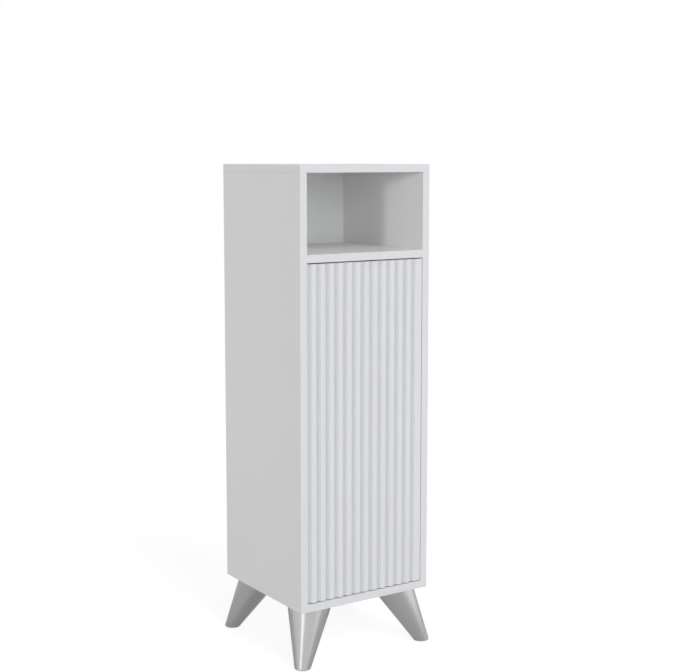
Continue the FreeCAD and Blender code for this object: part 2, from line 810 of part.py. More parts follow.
def hinge_plate(name, level):
    """A cross-shaped plate on the left side, with a boss that the arm sits over."""
    body = new_body(f"hinge_plate_{name}")
    wing_front = f"({plate_centre} - sizes.plate_wing_width / 2)"
    wing_rear = f"({plate_centre} + sizes.plate_wing_width / 2)"
    sketch = sketch_across(body, "x", hinge_side_face)
    outline(sketch, [
        (plate_front, "-sizes.plate_half_width"),
        (wing_front, "-sizes.plate_half_width"),
        (wing_front, "-sizes.plate_wing_reach"),
        (wing_rear, "-sizes.plate_wing_reach"),
        (wing_rear, "-sizes.plate_half_width"),
        (plate_rear, "-sizes.plate_half_width"),
        (plate_rear, "sizes.plate_half_width"),
        (wing_rear, "sizes.plate_half_width"),
        (wing_rear, "sizes.plate_wing_reach"),
        (wing_front, "sizes.plate_wing_reach"),
        (wing_front, "sizes.plate_half_width"),
        (plate_front, "sizes.plate_half_width"),
    ])
    pad(body, "base", sketch, "+x", "sizes.plate_thickness")
    boss_half = "(sizes.channel_half_width - sizes.channel_wall - sizes.plate_boss_play)"
    boss = sketch_across(body, "x", plate_face)
    rectangle(boss, f"{plate_front} + sizes.plate_boss_inset", f"-{boss_half}",
              f"{plate_rear} - sizes.plate_boss_inset", boss_half)
    pad(body, "boss", boss, "+x", "sizes.plate_boss_height")
    bores(body, "arm_screw_holes", "-x", f"{plate_face} + sizes.plate_boss_height",
          "sizes.plate_boss_height", "sizes.arm_screw_radius + sizes.screw_play",
          [(y, "0") for y in arm_screw_places])
    bores(body, "screw_holes", "-x", plate_face, "sizes.plate_thickness", small_screw_bore,
          [(plate_centre, "-sizes.plate_screw_reach"), (plate_centre, "sizes.plate_screw_reach")])
    round_edges(body, "corners", "sizes.plate_round",
                lambda edge: runs_along(edge, x_axis)
                and edge.Length < number("sizes.plate_thickness") * (1 + tolerance_share))
    return keep(body, hinge_x, hinge_y, f"sizes.leg_height + {level}")


def hinge_arm(name, level):
    """A channel over the plate and a cranked neck that ends in the pin's eye."""
    body = new_body(f"hinge_arm_{name}")
    channel_end = f"({plate_rear} + sizes.channel_tail)"
    half_sheet = "(sizes.arm_sheet / 2)"
    block(body, "channel", (plate_face, neck_end, "-sizes.channel_half_width"),
          (channel_top, channel_end, "sizes.channel_half_width"))
    inside = "(sizes.channel_half_width - sizes.channel_wall)"
    cut_block(body, "hollow", (plate_face, arm_setoff, f"-{inside}"),
              (f"{channel_top} - sizes.channel_wall", f"{channel_end} - sizes.channel_wall",
               inside))
    neck = sketch_across(body, "z", "-sizes.arm_half_width")
    outline(neck, [
        ("0", f"-{half_sheet}"),
        (arm_reach, f"-{half_sheet}"),
        (arm_reach, arm_setoff),
        (channel_top, arm_setoff),
        (channel_top, neck_end),
        (riser_inner, neck_end),
        (riser_inner, half_sheet),
        ("0", half_sheet),
    ])
    pad(body, "neck", neck, "+z", "2 * sizes.arm_half_width")
    discs(body, "eye", "+z", "-sizes.arm_half_width", "2 * sizes.arm_half_width",
          "sizes.arm_eye_radius", [("0", "0")])
    bores(body, "pin_hole", "+z", "-sizes.arm_half_width", "2 * sizes.arm_half_width",
          "sizes.hinge_pin_radius + sizes.hinge_pin_play", [("0", "0")])
    bores(body, "screw_holes", "-x", channel_top, "sizes.channel_wall",
          "sizes.arm_screw_radius + sizes.screw_play", [(y, "0") for y in arm_screw_places])
    far_x = number(arm_reach)
    round_edges(body, "bends", "sizes.arm_bend_round",
                lambda edge: runs_along(edge, z_axis) and lies_on(edge, "X", far_x))
    far_y = number(channel_end)
    round_edges(body, "channel_corners", "sizes.channel_round",
                lambda edge: runs_along(edge, x_axis) and lies_on(edge, "Y", far_y))
    return keep(body, hinge_x, hinge_y, f"sizes.leg_height + {level}")


def hinge_cup(name, level):
    """The cup let into the door's back, with two ears for the pin."""
    body = new_body(f"hinge_cup_{name}")
    centre = [(cup_centre, "0")]
    discs(body, "cup", "-y", hinge_door_back, cup_depth, "sizes.cup_radius", centre)
    discs(body, "rim", "+y", hinge_door_back, "sizes.cup_flange",
          "sizes.cup_radius + sizes.cup_flange_rim", centre)
    wings = sketch_across(body, "y", hinge_door_back)
    wing_reach = "(sizes.cup_screw_reach + sizes.cup_wing)"
    rectangle(wings, f"{cup_screw_x} - sizes.cup_wing", f"-{wing_reach}",
              f"{cup_screw_x} + sizes.cup_wing", wing_reach)
    pad(body, "wings", wings, "+y", "sizes.cup_flange")
    tip = number(wing_reach)
    round_edges(body, "wing_corners", "sizes.cup_wing_round",
                lambda edge: runs_along(edge, y_axis)
                and (lies_on(edge, "Z", tip) or lies_on(edge, "Z", -tip)))
    bores(body, "hollow", "-y", f"{hinge_door_back} + sizes.cup_flange",
          f"{cup_depth} + sizes.cup_flange - sizes.cup_wall",
          "sizes.cup_radius - sizes.cup_wall", centre)
    for part, toward, start, low in (("upper", "+z", ear_start, ear_start),
                                     ("lower", "-z", f"-{ear_start}", f"-{ear_end}")):
        discs(body, f"{part}_ear", toward, start, "sizes.ear_thickness", "sizes.ear_radius",
              [("0", "0")])
        high = f"{low} + sizes.ear_thickness"
        block(body, f"{part}_ear_foot", ("-sizes.ear_radius", "-sizes.pin_from_cup_floor", low),
              ("sizes.ear_radius", "0", high))
    bores(body, "pin_hole", "+z", f"-{ear_end}", f"2 * {ear_end}",
          "sizes.hinge_pin_radius + sizes.hinge_ear_play", [("0", "0")])
    bores(body, "screw_holes", "-y", f"{hinge_door_back} + sizes.cup_flange",
          "sizes.cup_flange", small_screw_bore,
          [(cup_screw_x, "-sizes.cup_screw_reach"), (cup_screw_x, "sizes.cup_screw_reach")])
    return keep(body, hinge_x, hinge_y, f"sizes.leg_height + {level}")


def hinge_pins():
    pin = new_body("hinge_pin")
    discs(pin, "pin", "+z", f"-{ear_end}", f"2 * {ear_end}", "sizes.hinge_pin_radius",
          [("0", "0")])
    copies("hinge_pins", pin, [(hinge_x, hinge_y, f"sizes.leg_height + {level}", upward)
                               for level in hinge_heights.values()])


def hinge_screws():
    """Screws of the plates, the arms and the cups."""
    small = screw_master("small_screw", "small", False)
    arm = screw_master("arm_screw", "arm", False)
    plate_places = []
    arm_places = []
    cup_places = []
    for level in hinge_heights.values():
        middle = f"sizes.leg_height + {level}"
        for sign in ("-", "+"):
            plate_places.append((f"{hinge_x} + {plate_face}", f"{hinge_y} + {plate_centre}",
                                 f"{middle} {sign} sizes.plate_screw_reach", leftward))
            cup_places.append((f"{hinge_x} + {cup_screw_x}",
                               f"{hinge_y} + {hinge_door_back} + sizes.cup_flange",
                               f"{middle} {sign} sizes.cup_screw_reach", frontward))
        for y in arm_screw_places:
            arm_places.append((f"{hinge_x} + {channel_top}", f"{hinge_y} + {y}", middle,
                               leftward))
    copies("hinge_plate_screws", small, plate_places)
    copies("hinge_arm_screws", arm, arm_places)
    copies("hinge_cup_screws", small, cup_places)
    return small


def door_panel():
    """The door: round flutes from end to end, cup bores and screw holes in its back."""
    body = new_body("door_panel")
    block(body, "slab", ("0", "0", "0"), (door_width, "sizes.door_thickness", door_height))
    flute_radius = "((sizes.flute_width ^ 2 / 4 + sizes.flute_depth ^ 2) / (2 * sizes.flute_depth))"
    flute = sketch_across(body, "z", "0")
    rings(flute, [("sizes.first_flute", f"sizes.flute_depth - {flute_radius}")], flute_radius)
    first = pocket(body, "flute", flute, "+z", door_height)
    pattern = body.newObject("PartDesign::LinearPattern", "flutes")
    pattern.Originals = [first]
    pattern.Direction = (flute, ["H_Axis"])
    pattern.Mode = "Spacing"
    pattern.setExpression("Offset", "sizes.flute_pitch")
    last_place = f"({door_width} - sizes.first_flute - sizes.flute_width / 2)"
    pattern.setExpression("Occurrences", f"floor({last_place} / sizes.flute_pitch) + 1")
    settle(body, pattern)
    cup_x = "(sizes.cup_edge + sizes.cup_radius)"
    levels = [f"({level} - {door_base})" for level in hinge_heights.values()]
    bores(body, "cup_bores", "-y", "sizes.door_thickness", f"{cup_depth} + sizes.bore_play",
          "sizes.cup_radius + sizes.bore_play", [(cup_x, level) for level in levels])
    screw_x = f"{cup_x} + sizes.cup_screw_offset"
    screw_centres = []
    for level in levels:
        for sign in ("-", "+"):
            screw_centres.append((screw_x, f"{level} {sign} sizes.cup_screw_reach"))
    screw_centres.append((f"{latch_x} - {door_left}", f"{strike_screw_z} - {door_base}"))
    bores(body, "screw_holes", "-y", "sizes.door_thickness",
          "sizes.small_screw_length - sizes.cup_flange + sizes.bore_end_play",
          small_screw_bore, screw_centres)
    return keep(body, door_left, front_plane, f"sizes.leg_height + {door_base}")


def push_latch_body():
    """The latch's housing on the right side, its bore open to the front."""
    body = new_body("push_latch_body")
    block(body, "housing", ("-sizes.latch_width / 2", latch_front, "-sizes.latch_half_height"),
          ("sizes.latch_width / 2", f"{latch_front} + sizes.latch_length",
           "sizes.latch_half_height"))
    round_edges(body, "housing_edges", "sizes.latch_round",
                lambda edge: runs_along(edge, y_axis)
                and lies_on(edge, "X", -number("sizes.latch_width / 2")))
    flange_front = f"({latch_front} + sizes.latch_flange_start)"
    block(body, "flange", ("sizes.latch_width / 2 - sizes.latch_flange", flange_front,
                           "-sizes.latch_flange_reach"),
          ("sizes.latch_width / 2", f"{flange_front} + sizes.latch_flange_length",
           "sizes.latch_flange_reach"))
    bores(body, "plunger_bore", "+y", latch_front, latch_bore_depth,
          "sizes.plunger_radius + sizes.plunger_play", [("0", "0")])
    bores(body, "screw_holes", "+x", "sizes.latch_width / 2 - sizes.latch_flange",
          "sizes.latch_flange", small_screw_bore,
          [(latch_screw_y, "-sizes.latch_screw_reach"), (latch_screw_y, "sizes.latch_screw_reach")])
    return keep(body, latch_x, front_plane, f"sizes.leg_height + {latch_z}")


def push_latch_plunger():
    """A rod with a wider tip that meets the strike plate."""
    body = new_body("push_latch_plunger")
    tip_end = f"({plunger_face} + sizes.plunger_tip_length)"
    discs(body, "tip", "+y", plunger_face, "sizes.plunger_tip_length",
          "sizes.plunger_tip_radius", [("0", "0")])
    discs(body, "rod", "+y", tip_end, "sizes.plunger_length", "sizes.plunger_radius",
          [("0", "0")])
    face = number(plunger_face)
    round_edges(body, "tip_edge", "sizes.plunger_tip_round", lambda edge: lies_on(edge, "Y", face))
    return keep(body, latch_x, front_plane, f"sizes.leg_height + {latch_z}")


def push_latch_spring():
    """A coil spring that sits on the plunger's rear end."""
    body = new_body("push_latch_spring")
    seat = f"({plunger_face} + sizes.plunger_tip_length + sizes.plunger_length)"
    wire = sketch_across(body, "x", "0")
    rings(wire, [(f"{seat} + sizes.spring_wire_radius", "sizes.spring_coil_radius")],
          "sizes.spring_wire_radius")
    coil = body.newObject("PartDesign::AdditiveHelix", "coil")
    coil.Profile = wire
    coil.ReferenceAxis = (wire, ["H_Axis"])
    coil.Mode = "pitch-height-angle"
    coil.setExpression("Pitch", "sizes.spring_pitch")
    wire_thickness = "2 * sizes.spring_wire_radius"
    coil.setExpression("Height", f"{latch_bore_depth} - sizes.plunger_length - {wire_thickness}")
    wire.Visibility = False
    settle(body, coil)
    return keep(body, latch_x, front_plane, f"sizes.leg_height + {latch_z}")


def strike_plate():
    """A steel plate on the door's back that the plunger's tip holds on to."""
    body = new_body("strike_plate")
    block(body, "plate", ("-sizes.strike_half_width", "sizes.door_thickness",
                          "-sizes.strike_half_height"),
          ("sizes.strike_half_width", "sizes.door_thickness + sizes.strike_thickness",
           "sizes.strike_half_height"))
    bores(body, "screw_hole", "-y", "sizes.door_thickness + sizes.strike_thickness",
          "sizes.strike_thickness", small_screw_bore, [("0", "-sizes.strike_screw_drop")])
    round_edges(body, "corners", "sizes.latch_round", lambda edge: runs_along(edge, y_axis))
    return keep(body, latch_x, front_plane, f"sizes.leg_height + {latch_z}")


def latch_screws(small_screw):
    places = []
    for sign in ("-", "+"):
        places.append((f"{inner_right} - sizes.latch_flange", f"{front_plane} + {latch_screw_y}",
                       f"sizes.leg_height + {latch_z} {sign} sizes.latch_screw_reach", rightward))
    copies("push_latch_screws", small_screw, places)
    strike = (latch_x, f"{front_plane} + sizes.door_thickness + sizes.strike_thickness",
              f"sizes.leg_height + {strike_screw_z}", frontward)
    copies("strike_plate_screw", small_screw, [strike])


def oblique(body, name, kind, levels):
    """A cone through two circles: (level below the carcass, radius, sideways shift)."""
    circles = []
    for level, radius, shift in levels:
        sketch = sketch_across(body, "z", f"-({level})")
        rings(sketch, [(f"-({shift})", f"-({shift})")], radius)
        sketch.Visibility = False
        circles.append(sketch)
    feature = body.newObject(kind, name)
    feature.Profile = circles[0]
    feature.Sections = circles[1:]
    feature.Ruled = True
    return settle(body, feature)


def cone_at(level, inset):
    """The level, radius and shift of the leg's cone there, drawn in by an inset."""
    share = f"((({level}) - sizes.leg_gap) / {leg_length})"
    taper = "(sizes.leg_top_radius - sizes.foot_radius)"
    radius = f"sizes.leg_top_radius - {taper} * {share} - ({inset})"
    return level, radius, f"{foot_shift} * {share}"


leg_turns = {
    "front_left": ("-", "-", 0),
    "front_right": ("", "-", 90),
    "rear_right": ("", "", 180),
    "rear_left": ("-", "", 270),
}


def leg_place(corner):
    side, end, angle = leg_turns[corner]
    x = f"{side}({half_width} - {leg_inset})"
    y = f"{end}({half_depth} - {leg_inset})"
    return x, y, FreeCAD.Rotation(z_axis, angle)


def leg(corner):
    """A hollow leg shaped as an oblique cone, open at the foot, with a boss for its stud."""
    body = new_body(f"leg_{corner}")
    hollow_top = f"({leg_plate_thickness} + sizes.leg_top_wall)"
    oblique(body, "cone", "PartDesign::AdditiveLoft",
            [cone_at("sizes.leg_gap", "0"), cone_at(leg_foot_level, "0")])
    oblique(body, "hollow", "PartDesign::SubtractiveLoft",
            [cone_at(hollow_top, "sizes.leg_wall"), cone_at(leg_foot_level, "sizes.leg_wall")])
    bores(body, "plate_seat", "-z", "-sizes.leg_gap", "sizes.leg_plate_sink",
          f"{leg_plate_radius} + sizes.leg_plate_play", [("0", "0")])
    discs(body, "boss", "-z", f"-{hollow_top}", "sizes.leg_boss_length",
          "sizes.leg_boss_radius", [("0", "0")])
    bores(body, "stud_bore", "-z", f"-{leg_plate_thickness}",
          "sizes.leg_top_wall + sizes.leg_boss_length - sizes.leg_wall",
          "sizes.stud_radius + sizes.screw_play", [("0", "0")])
    x, y, turn = leg_place(corner)
    body.Placement = FreeCAD.Placement(FreeCAD.Vector(), turn)
    return keep(body, x, y, "sizes.leg_height")


def leg_fixings():
    """Mounting plates, their screws, the studs and the glides of the four legs."""
    plate = new_body("leg_plate")
    discs(plate, "disc", "-z", "0", leg_plate_thickness, leg_plate_radius, [("0", "0")])
    bores(plate, "stud_hole", "-z", "0", leg_plate_thickness,
          "sizes.stud_radius + sizes.screw_play", [("0", "0")])
    steps = [(f"{a}{leg_screw_step}", f"{b}{leg_screw_step}") for a in ("-", "") for b in ("-", "")]
    bores(plate, "screw_holes", "-z", "0", leg_plate_thickness,
          "sizes.flat_screw_radius + sizes.screw_play", steps)
    play = "sizes.screw_play"
    for index, (x, y) in enumerate(steps, start=1):
        low = sketch_across(plate, "z", f"-{leg_plate_thickness}")
        rings(low, [(x, y)], f"sizes.flat_screw_head + {play}")
        high = sketch_across(plate, "z", f"-{leg_plate_thickness} + sizes.flat_screw_head_height")
        rings(high, [(x, y)], f"sizes.flat_screw_radius + {play}")
        cone = plate.newObject("PartDesign::SubtractiveLoft", f"countersink_{index}")
        cone.Profile = low
        cone.Sections = [high]
        cone.Ruled = True
        low.Visibility = False
        high.Visibility = False
        settle(plate, cone)

    stud = new_body("leg_stud")
    boss_end = f"({leg_plate_thickness} + sizes.leg_top_wall + sizes.leg_boss_length)"
    stud_low = f"(sizes.leg_wall - {boss_end})"
    rim = "(sizes.stud_radius - sizes.stud_chamfer)"
    turned(stud, "profile", [
        ("0", stud_low),
        ("sizes.stud_radius", stud_low),
        ("sizes.stud_radius", "sizes.stud_bite - sizes.stud_chamfer"),
        (rim, "sizes.stud_bite"),
        ("0", "sizes.stud_bite"),
    ])

    glide = new_body("leg_glide")
    plug_top = f"({leg_foot_level} - sizes.glide_plug)"
    inset = "sizes.leg_wall + sizes.glide_play"
    oblique(glide, "plug", "PartDesign::AdditiveLoft",
            [cone_at(plug_top, inset), cone_at(leg_foot_level, inset)])
    discs(glide, "pad", "-z", f"-{leg_foot_level}", "sizes.glide_show",
          "sizes.foot_radius - sizes.glide_round", [(f"-{foot_shift}", f"-{foot_shift}")])
    floor = -number("sizes.leg_height")
    round_edges(glide, "pad_edge", "sizes.glide_round", lambda edge: lies_on(edge, "Z", floor))

    flat = screw_master("flat_screw", "flat", True)
    bases = [(*leg_place(corner)[:2], "sizes.leg_height", leg_place(corner)[2])
             for corner in leg_turns]
    copies("leg_mounting_plates", plate, bases)
    copies("leg_studs", stud, bases)
    copies("leg_glides", glide, bases)
    screw_places = []
    for x, y, z, turn in bases:
        for step_x, step_y in steps:
            screw_places.append((f"{x} + {step_x}", f"{y} + {step_y}",
                                 f"{z} - {leg_plate_thickness}", upward))
    copies("leg_plate_screws", flat, screw_places)


def check_and_write():
    """Stops on any object that failed, then writes one file for each sub-part."""
    doc.recompute()
    for item in doc.Objects:
        if "Invalid" in item.State or "Error" in item.State:
            raise RuntimeError(f"{item.Label} did not build")
    for piece in pieces:
        if piece.Shape.isNull() or not piece.Shape.isValid():
            raise RuntimeError(f"{piece.Label} has no valid shape")
    os.makedirs("parts", exist_ok=True)
    for piece in pieces:
        piece.Shape.exportStep(f"parts/{piece.Label}.step")
        box = piece.Shape.BoundBox
        print(f"{piece.Label}: {len(piece.Shape.Solids)} solids, {piece.Shape.Volume:.0f} mm3, "
              f"z {box.ZMin:.1f} to {box.ZMax:.1f}")


def main():
    plate_y = f"({plate_centre} + {pin_from_face})"
    plate_holes = [(plate_y, f"{level} {sign} sizes.plate_screw_reach")
                   for level in hinge_heights.values() for sign in ("-", "+")]
    latch_holes = [(latch_screw_y, f"{latch_z} {sign} sizes.latch_screw_reach")
                   for sign in ("-", "+")]
    side_panel("left_side_panel", f"-{half_width}", "sizes.board", "-x", plate_holes)
    side_panel("right_side_panel", inner_right, "0", "+x", latch_holes)
    side_edge_band("left_side_edge_band", f"-{half_width}")
    side_edge_band("right_side_edge_band", inner_right)
    top_panel()
    top_panel_edge_bands()
    bottom_panel()
    cross_edge_band("bottom_panel_edge_band", "0")
    niche_shelf()
    cross_edge_band("niche_shelf_edge_band", niche_shelf_base)
    back_panel()
    adjustable_shelves()
    shelf_pins()
    cam_locks()
    cam_bolts()
    wood_dowels()
    door_panel()
    for name, level in hinge_heights.items():
        hinge_plate(name, level)
        hinge_arm(name, level)
        hinge_cup(name, level)
    hinge_pins()
    small_screw = hinge_screws()
    push_latch_body()
    push_latch_plunger()
    push_latch_spring()
    strike_plate()
    latch_screws(small_screw)
    for corner in leg_turns:
        leg(corner)
    leg_fixings()
    check_and_write()


main()
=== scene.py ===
# Narrow bathroom cabinet with an open niche, a fluted door and four splayed metal legs:
# finishes, the door's fine form, studio light and camera. All lengths are in metres.
import math
import bpy
import bmesh
from mathutils import Matrix, Vector


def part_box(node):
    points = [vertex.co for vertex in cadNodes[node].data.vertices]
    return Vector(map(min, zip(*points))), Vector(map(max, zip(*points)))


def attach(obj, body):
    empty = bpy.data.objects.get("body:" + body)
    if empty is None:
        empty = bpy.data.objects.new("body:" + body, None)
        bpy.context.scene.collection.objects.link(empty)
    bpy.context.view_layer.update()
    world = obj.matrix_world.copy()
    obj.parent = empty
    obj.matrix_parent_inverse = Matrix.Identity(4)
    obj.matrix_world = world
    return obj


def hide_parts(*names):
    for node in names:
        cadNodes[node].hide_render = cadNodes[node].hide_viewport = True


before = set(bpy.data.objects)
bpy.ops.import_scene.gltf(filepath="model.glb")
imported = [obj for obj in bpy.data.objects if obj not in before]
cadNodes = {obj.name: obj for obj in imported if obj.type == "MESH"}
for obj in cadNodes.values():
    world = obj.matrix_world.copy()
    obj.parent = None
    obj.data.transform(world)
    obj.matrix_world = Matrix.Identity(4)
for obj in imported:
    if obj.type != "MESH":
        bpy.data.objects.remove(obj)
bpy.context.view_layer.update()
scene = bpy.context.scene
print("frame loaded:", len(cadNodes), "nodes")


# Small helpers for node trees

def place(tree, kind, **settings):
    node = tree.nodes.new("ShaderNode" + kind)
    for key, value in settings.items():
        setattr(node, key, value)
    return node


def feed(tree, socket, value):
    # a socket gets a link from another socket, or a plain value
    if isinstance(value, bpy.types.NodeSocket):
        tree.links.new(value, socket)
    else:
        socket.default_value = value


def calc(tree, operation, *values):
    node = place(tree, "Math", operation=operation)
    for socket, value in zip(node.inputs, values):
        feed(tree, socket, value)
    return node.outputs[0]


def vectorCalc(tree, operation, *values):
    node = place(tree, "VectorMath", operation=operation)
    for socket, value in zip(node.inputs, values):
        feed(tree, socket, value)
    return node.outputs["Value" if operation in ("DOT_PRODUCT", "LENGTH") else "Vector"]


def splitVector(tree, vector):
    node = place(tree, "SeparateXYZ")
    feed(tree, node.inputs[0], vector)
    return node.outputs


def coordinates(tree):
    return place(tree, "TexCoord").outputs


def spread(tree, value, fromLow, fromHigh, toLow=0.0, toHigh=1.0):
    node = place(tree, "MapRange")
    for socket, item in zip(node.inputs, (value, fromLow, fromHigh, toLow, toHigh)):
        feed(tree, socket, item)
    return node.outputs[0]


def noise(tree, vector, scale, detail, roughness=0.5):
    node = place(tree, "TexNoise")
    feed(tree, node.inputs["Vector"], vector)
    feed(tree, node.inputs["Scale"], scale)
    feed(tree, node.inputs["Detail"], detail)
    feed(tree, node.inputs["Roughness"], roughness)
    return node.outputs[0]


def blendColours(tree, factor, first, second):
    node = place(tree, "Mix", data_type="RGBA")
    feed(tree, node.inputs[0], factor)
    feed(tree, node.inputs[6], first)
    feed(tree, node.inputs[7], second)
    return node.outputs[2]


def blendValues(tree, factor, first, second):
    node = place(tree, "Mix", data_type="FLOAT")
    feed(tree, node.inputs[0], factor)
    feed(tree, node.inputs[2], first)
    feed(tree, node.inputs[3], second)
    return node.outputs[0]


def newGroup(name, inputs, outputs):
    group = bpy.data.node_groups.new(name, "ShaderNodeTree")
    for label, kind, value in inputs:
        socket = group.interface.new_socket(
            name=label, in_out="INPUT", socket_type="NodeSocket" + kind)
        socket.default_value = value
    for label, kind in outputs:
        group.interface.new_socket(
            name=label, in_out="OUTPUT", socket_type="NodeSocket" + kind)
    start = group.nodes.new("NodeGroupInput")
    end = group.nodes.new("NodeGroupOutput")
    return group, start.outputs, end.inputs


def useGroup(tree, group, **values):
    node = place(tree, "Group", node_tree=group)
    for label, value in values.items():
        feed(tree, node.inputs[label], value)
    return node.outputs


# Effects that several materials share

peelLook = {
    "fineDetail": 2.0,
    "broadDetail": 1.0,
    "broadScale": 0.1,          # the broad waves' scale, as a share of the fine ones'
}


def makePeelGroup():
    # the faint unevenness of a pressed, sprayed or moulded skin
    group, given, result = newGroup(
        "finePeel", [("Scale", "Float", 500.0), ("Waviness", "Float", 0.3)], [("Height", "Float")])
    where = coordinates(group)["Object"]
    fine = noise(group, where, given["Scale"], peelLook["fineDetail"])
    broadScale = calc(group, "MULTIPLY", given["Scale"], peelLook["broadScale"])
    broad = noise(group, where, broadScale, peelLook["broadDetail"])
    feed(group, result["Height"], blendValues(group, given["Waviness"], fine, broad))
    return group


handlingLook = {
    "detail": 4.0,
    "roughness": 0.6,
    "patchFrom": 0.35,
    "patchTo": 0.65,
}


def makeHandlingGroup():
    # broad soft patches where hands and cloths have passed
    group, given, result = newGroup(
        "handling", [("PatchScale", "Float", 9.0)], [("Patches", "Float")])
    wander = noise(group, coordinates(group)["Object"], given["PatchScale"],
                   handlingLook["detail"], handlingLook["roughness"])
    feed(group, result["Patches"],
         spread(group, wander, handlingLook["patchFrom"], handlingLook["patchTo"]))
    return group


cutFaceLook = {
    "squareness": 0.7,          # how squarely a face looks across the board where it is a faced side
    "middle": 0.5,              # beyond it lies the board's far side
}


def makeCutFaceGroup():
    # 1 where a board is cut or bored, 0 on its two faced sides
    group, given, result = newGroup(
        "cutFaces", [("Across", "Vector", (0.0, 0.0, 1.0)), ("Skin", "Float", 0.01)],
        [("Cut", "Float"), ("FarSide", "Float")])
    coords = coordinates(group)
    level = vectorCalc(group, "DOT_PRODUCT", coords["Generated"], given["Across"])
    toFace = calc(group, "MINIMUM", level, calc(group, "SUBTRACT", 1.0, level))
    onSkin = calc(group, "LESS_THAN", toFace, given["Skin"])
    along = vectorCalc(group, "DOT_PRODUCT", coords["Normal"], given["Across"])
    square = calc(group, "GREATER_THAN", calc(group, "ABSOLUTE", along), cutFaceLook["squareness"])
    faced = calc(group, "MULTIPLY", onSkin, square)
    feed(group, result["Cut"], calc(group, "SUBTRACT", 1.0, faced))
    feed(group, result["FarSide"], calc(group, "GREATER_THAN", level, cutFaceLook["middle"]))
    return group


chipLook = {
    "scale": 420.0,
    "bend": (0.002, 0.002, 0.002),
    "shadeScale": 1.7,          # the chips' own mottling, as a share of their scale
    "shadeDetail": 3.0,
    "shadeShare": 0.5,
    "dark": (0.20, 0.12, 0.06, 1.0),
    "pale": (0.62, 0.46, 0.29, 1.0),
    "varied": 0.3,              # how far each chip goes its own way in colour
    "saturation": 0.6,
    "warmth": 0.7,              # share of the plain brown tones in the end
}


def makeChipGroup():
    # pressed wood chips, as a cut edge of particle board shows them
    look = chipLook
    group, given, result = newGroup(
        "pressedChips", [("Scale", "Float", look["scale"])], [("Color", "Color"), ("Height", "Float")])
    where = coordinates(group)["Object"]
    drift = vectorCalc(group, "MULTIPLY", place(group, "TexNoise").outputs["Color"], look["bend"])
    chips = place(group, "TexVoronoi", feature="F1")
    feed(group, chips.inputs["Vector"], vectorCalc(group, "ADD", where, drift))
    feed(group, chips.inputs["Scale"], given["Scale"])
    shadeScale = calc(group, "MULTIPLY", given["Scale"], look["shadeScale"])
    shade = noise(group, where, shadeScale, look["shadeDetail"])
    tone = place(group, "ValToRGB")
    tone.color_ramp.elements[0].color = look["dark"]
    tone.color_ramp.elements[1].color = look["pale"]
    feed(group, tone.inputs[0],
         blendValues(group, look["shadeShare"], chips.outputs["Distance"], shade))
    plain = place(group, "HueSaturation")
    feed(group, plain.inputs["Saturation"], look["saturation"])
    feed(group, plain.inputs["Color"],
         blendColours(group, look["varied"], tone.outputs[0], chips.outputs["Color"]))
    feed(group, result["Color"],
         blendColours(group, look["warmth"], plain.outputs[0], tone.outputs[0]))
    feed(group, result["Height"], shade)
    return group


brushLook = {
    "detail": 3.0,
    "roughness": 0.6,
}


def makeBrushGroup():
    # fine parallel marks left by brushing or turning; the stretch is the pull along each axis
    group, given, result = newGroup(
        "brushMarks", [("Stretch", "Vector", (20.0, 20.0, 1500.0))], [("Marks", "Float")])
    pulled = vectorCalc(group, "MULTIPLY", coordinates(group)["Object"], given["Stretch"])
    feed(group, result["Marks"],
         noise(group, pulled, 1.0, brushLook["detail"], brushLook["roughness"]))
    return group


peelGroup = makePeelGroup()
handlingGroup = makeHandlingGroup()
cutFaceGroup = makeCutFaceGroup()
chipGroup = makeChipGroup()
brushGroup = makeBrushGroup()
print("shared effects made")


# Materials

def newMaterial(name, **plainValues):
    material = bpy.data.materials.new(name)
    material.use_nodes = True
    shader = material.node_tree.nodes["Principled BSDF"]
    for label, value in plainValues.items():
        shader.inputs[label].default_value = value
    return material, material.node_tree, shader.inputs


def addBump(tree, sockets, height, depth):
    bump = place(tree, "Bump")
    feed(tree, bump.inputs["Strength"], 1.0)
    feed(tree, bump.inputs["Distance"], depth)
    feed(tree, bump.inputs["Height"], height)
    feed(tree, sockets["Normal"], bump.outputs[0])


def shadeOf(colour, factor):
    return tuple(channel * factor for channel in colour[:3]) + (1.0,)


def handledTone(tree, patches, colour, toneSpread):
    # the colour, going down to its darkest tone between the patches
    return blendColours(tree, patches, shadeOf(colour, toneSpread), colour)


def handledGloss(tree, patches, finish):
    return spread(tree, patches, 0.0, 1.0,
                  finish["roughness"] - finish["roughnessSpread"],
                  finish["roughness"] + finish["roughnessSpread"])


boardFinish = {
    # painted light: the boards' white is set lighter than the fronts' white of the same melamine, so
    # the niche's inside reads as if lit by more bounce light
    "white": (0.893, 0.892, 0.888, 1.0),
    "toneSpread": 0.985,        # the darkest tone of the handled patches
    "roughness": 0.42,
    "roughnessSpread": 0.06,    # how far the patches' roughness goes either way
    "peelScale": 700.0,
    "peelDepth": 0.000004,
    "chipDepth": 0.0004,
    "coreRoughness": 0.9,
}


def boardMaterial(name, across):
    # satin white melamine on both faces, bare particle board where the board is cut or bored
    finish = boardFinish
    material, tree, sockets = newMaterial(name)
    cut = useGroup(tree, cutFaceGroup, Across=across)["Cut"]
    patches = useGroup(tree, handlingGroup)["Patches"]
    peel = useGroup(tree, peelGroup, Scale=finish["peelScale"])["Height"]
    chips = useGroup(tree, chipGroup)
    faceTone = handledTone(tree, patches, finish["white"], finish["toneSpread"])
    feed(tree, sockets["Base Color"], blendColours(tree, cut, faceTone, chips["Color"]))
    faceGloss = handledGloss(tree, patches, finish)
    feed(tree, sockets["Roughness"], blendValues(tree, cut, faceGloss, finish["coreRoughness"]))
    height = blendValues(tree, cut, calc(tree, "MULTIPLY", peel, finish["peelDepth"]),
                         calc(tree, "MULTIPLY", chips["Height"], finish["chipDepth"]))
    addBump(tree, sockets, height, 1.0)
    return material


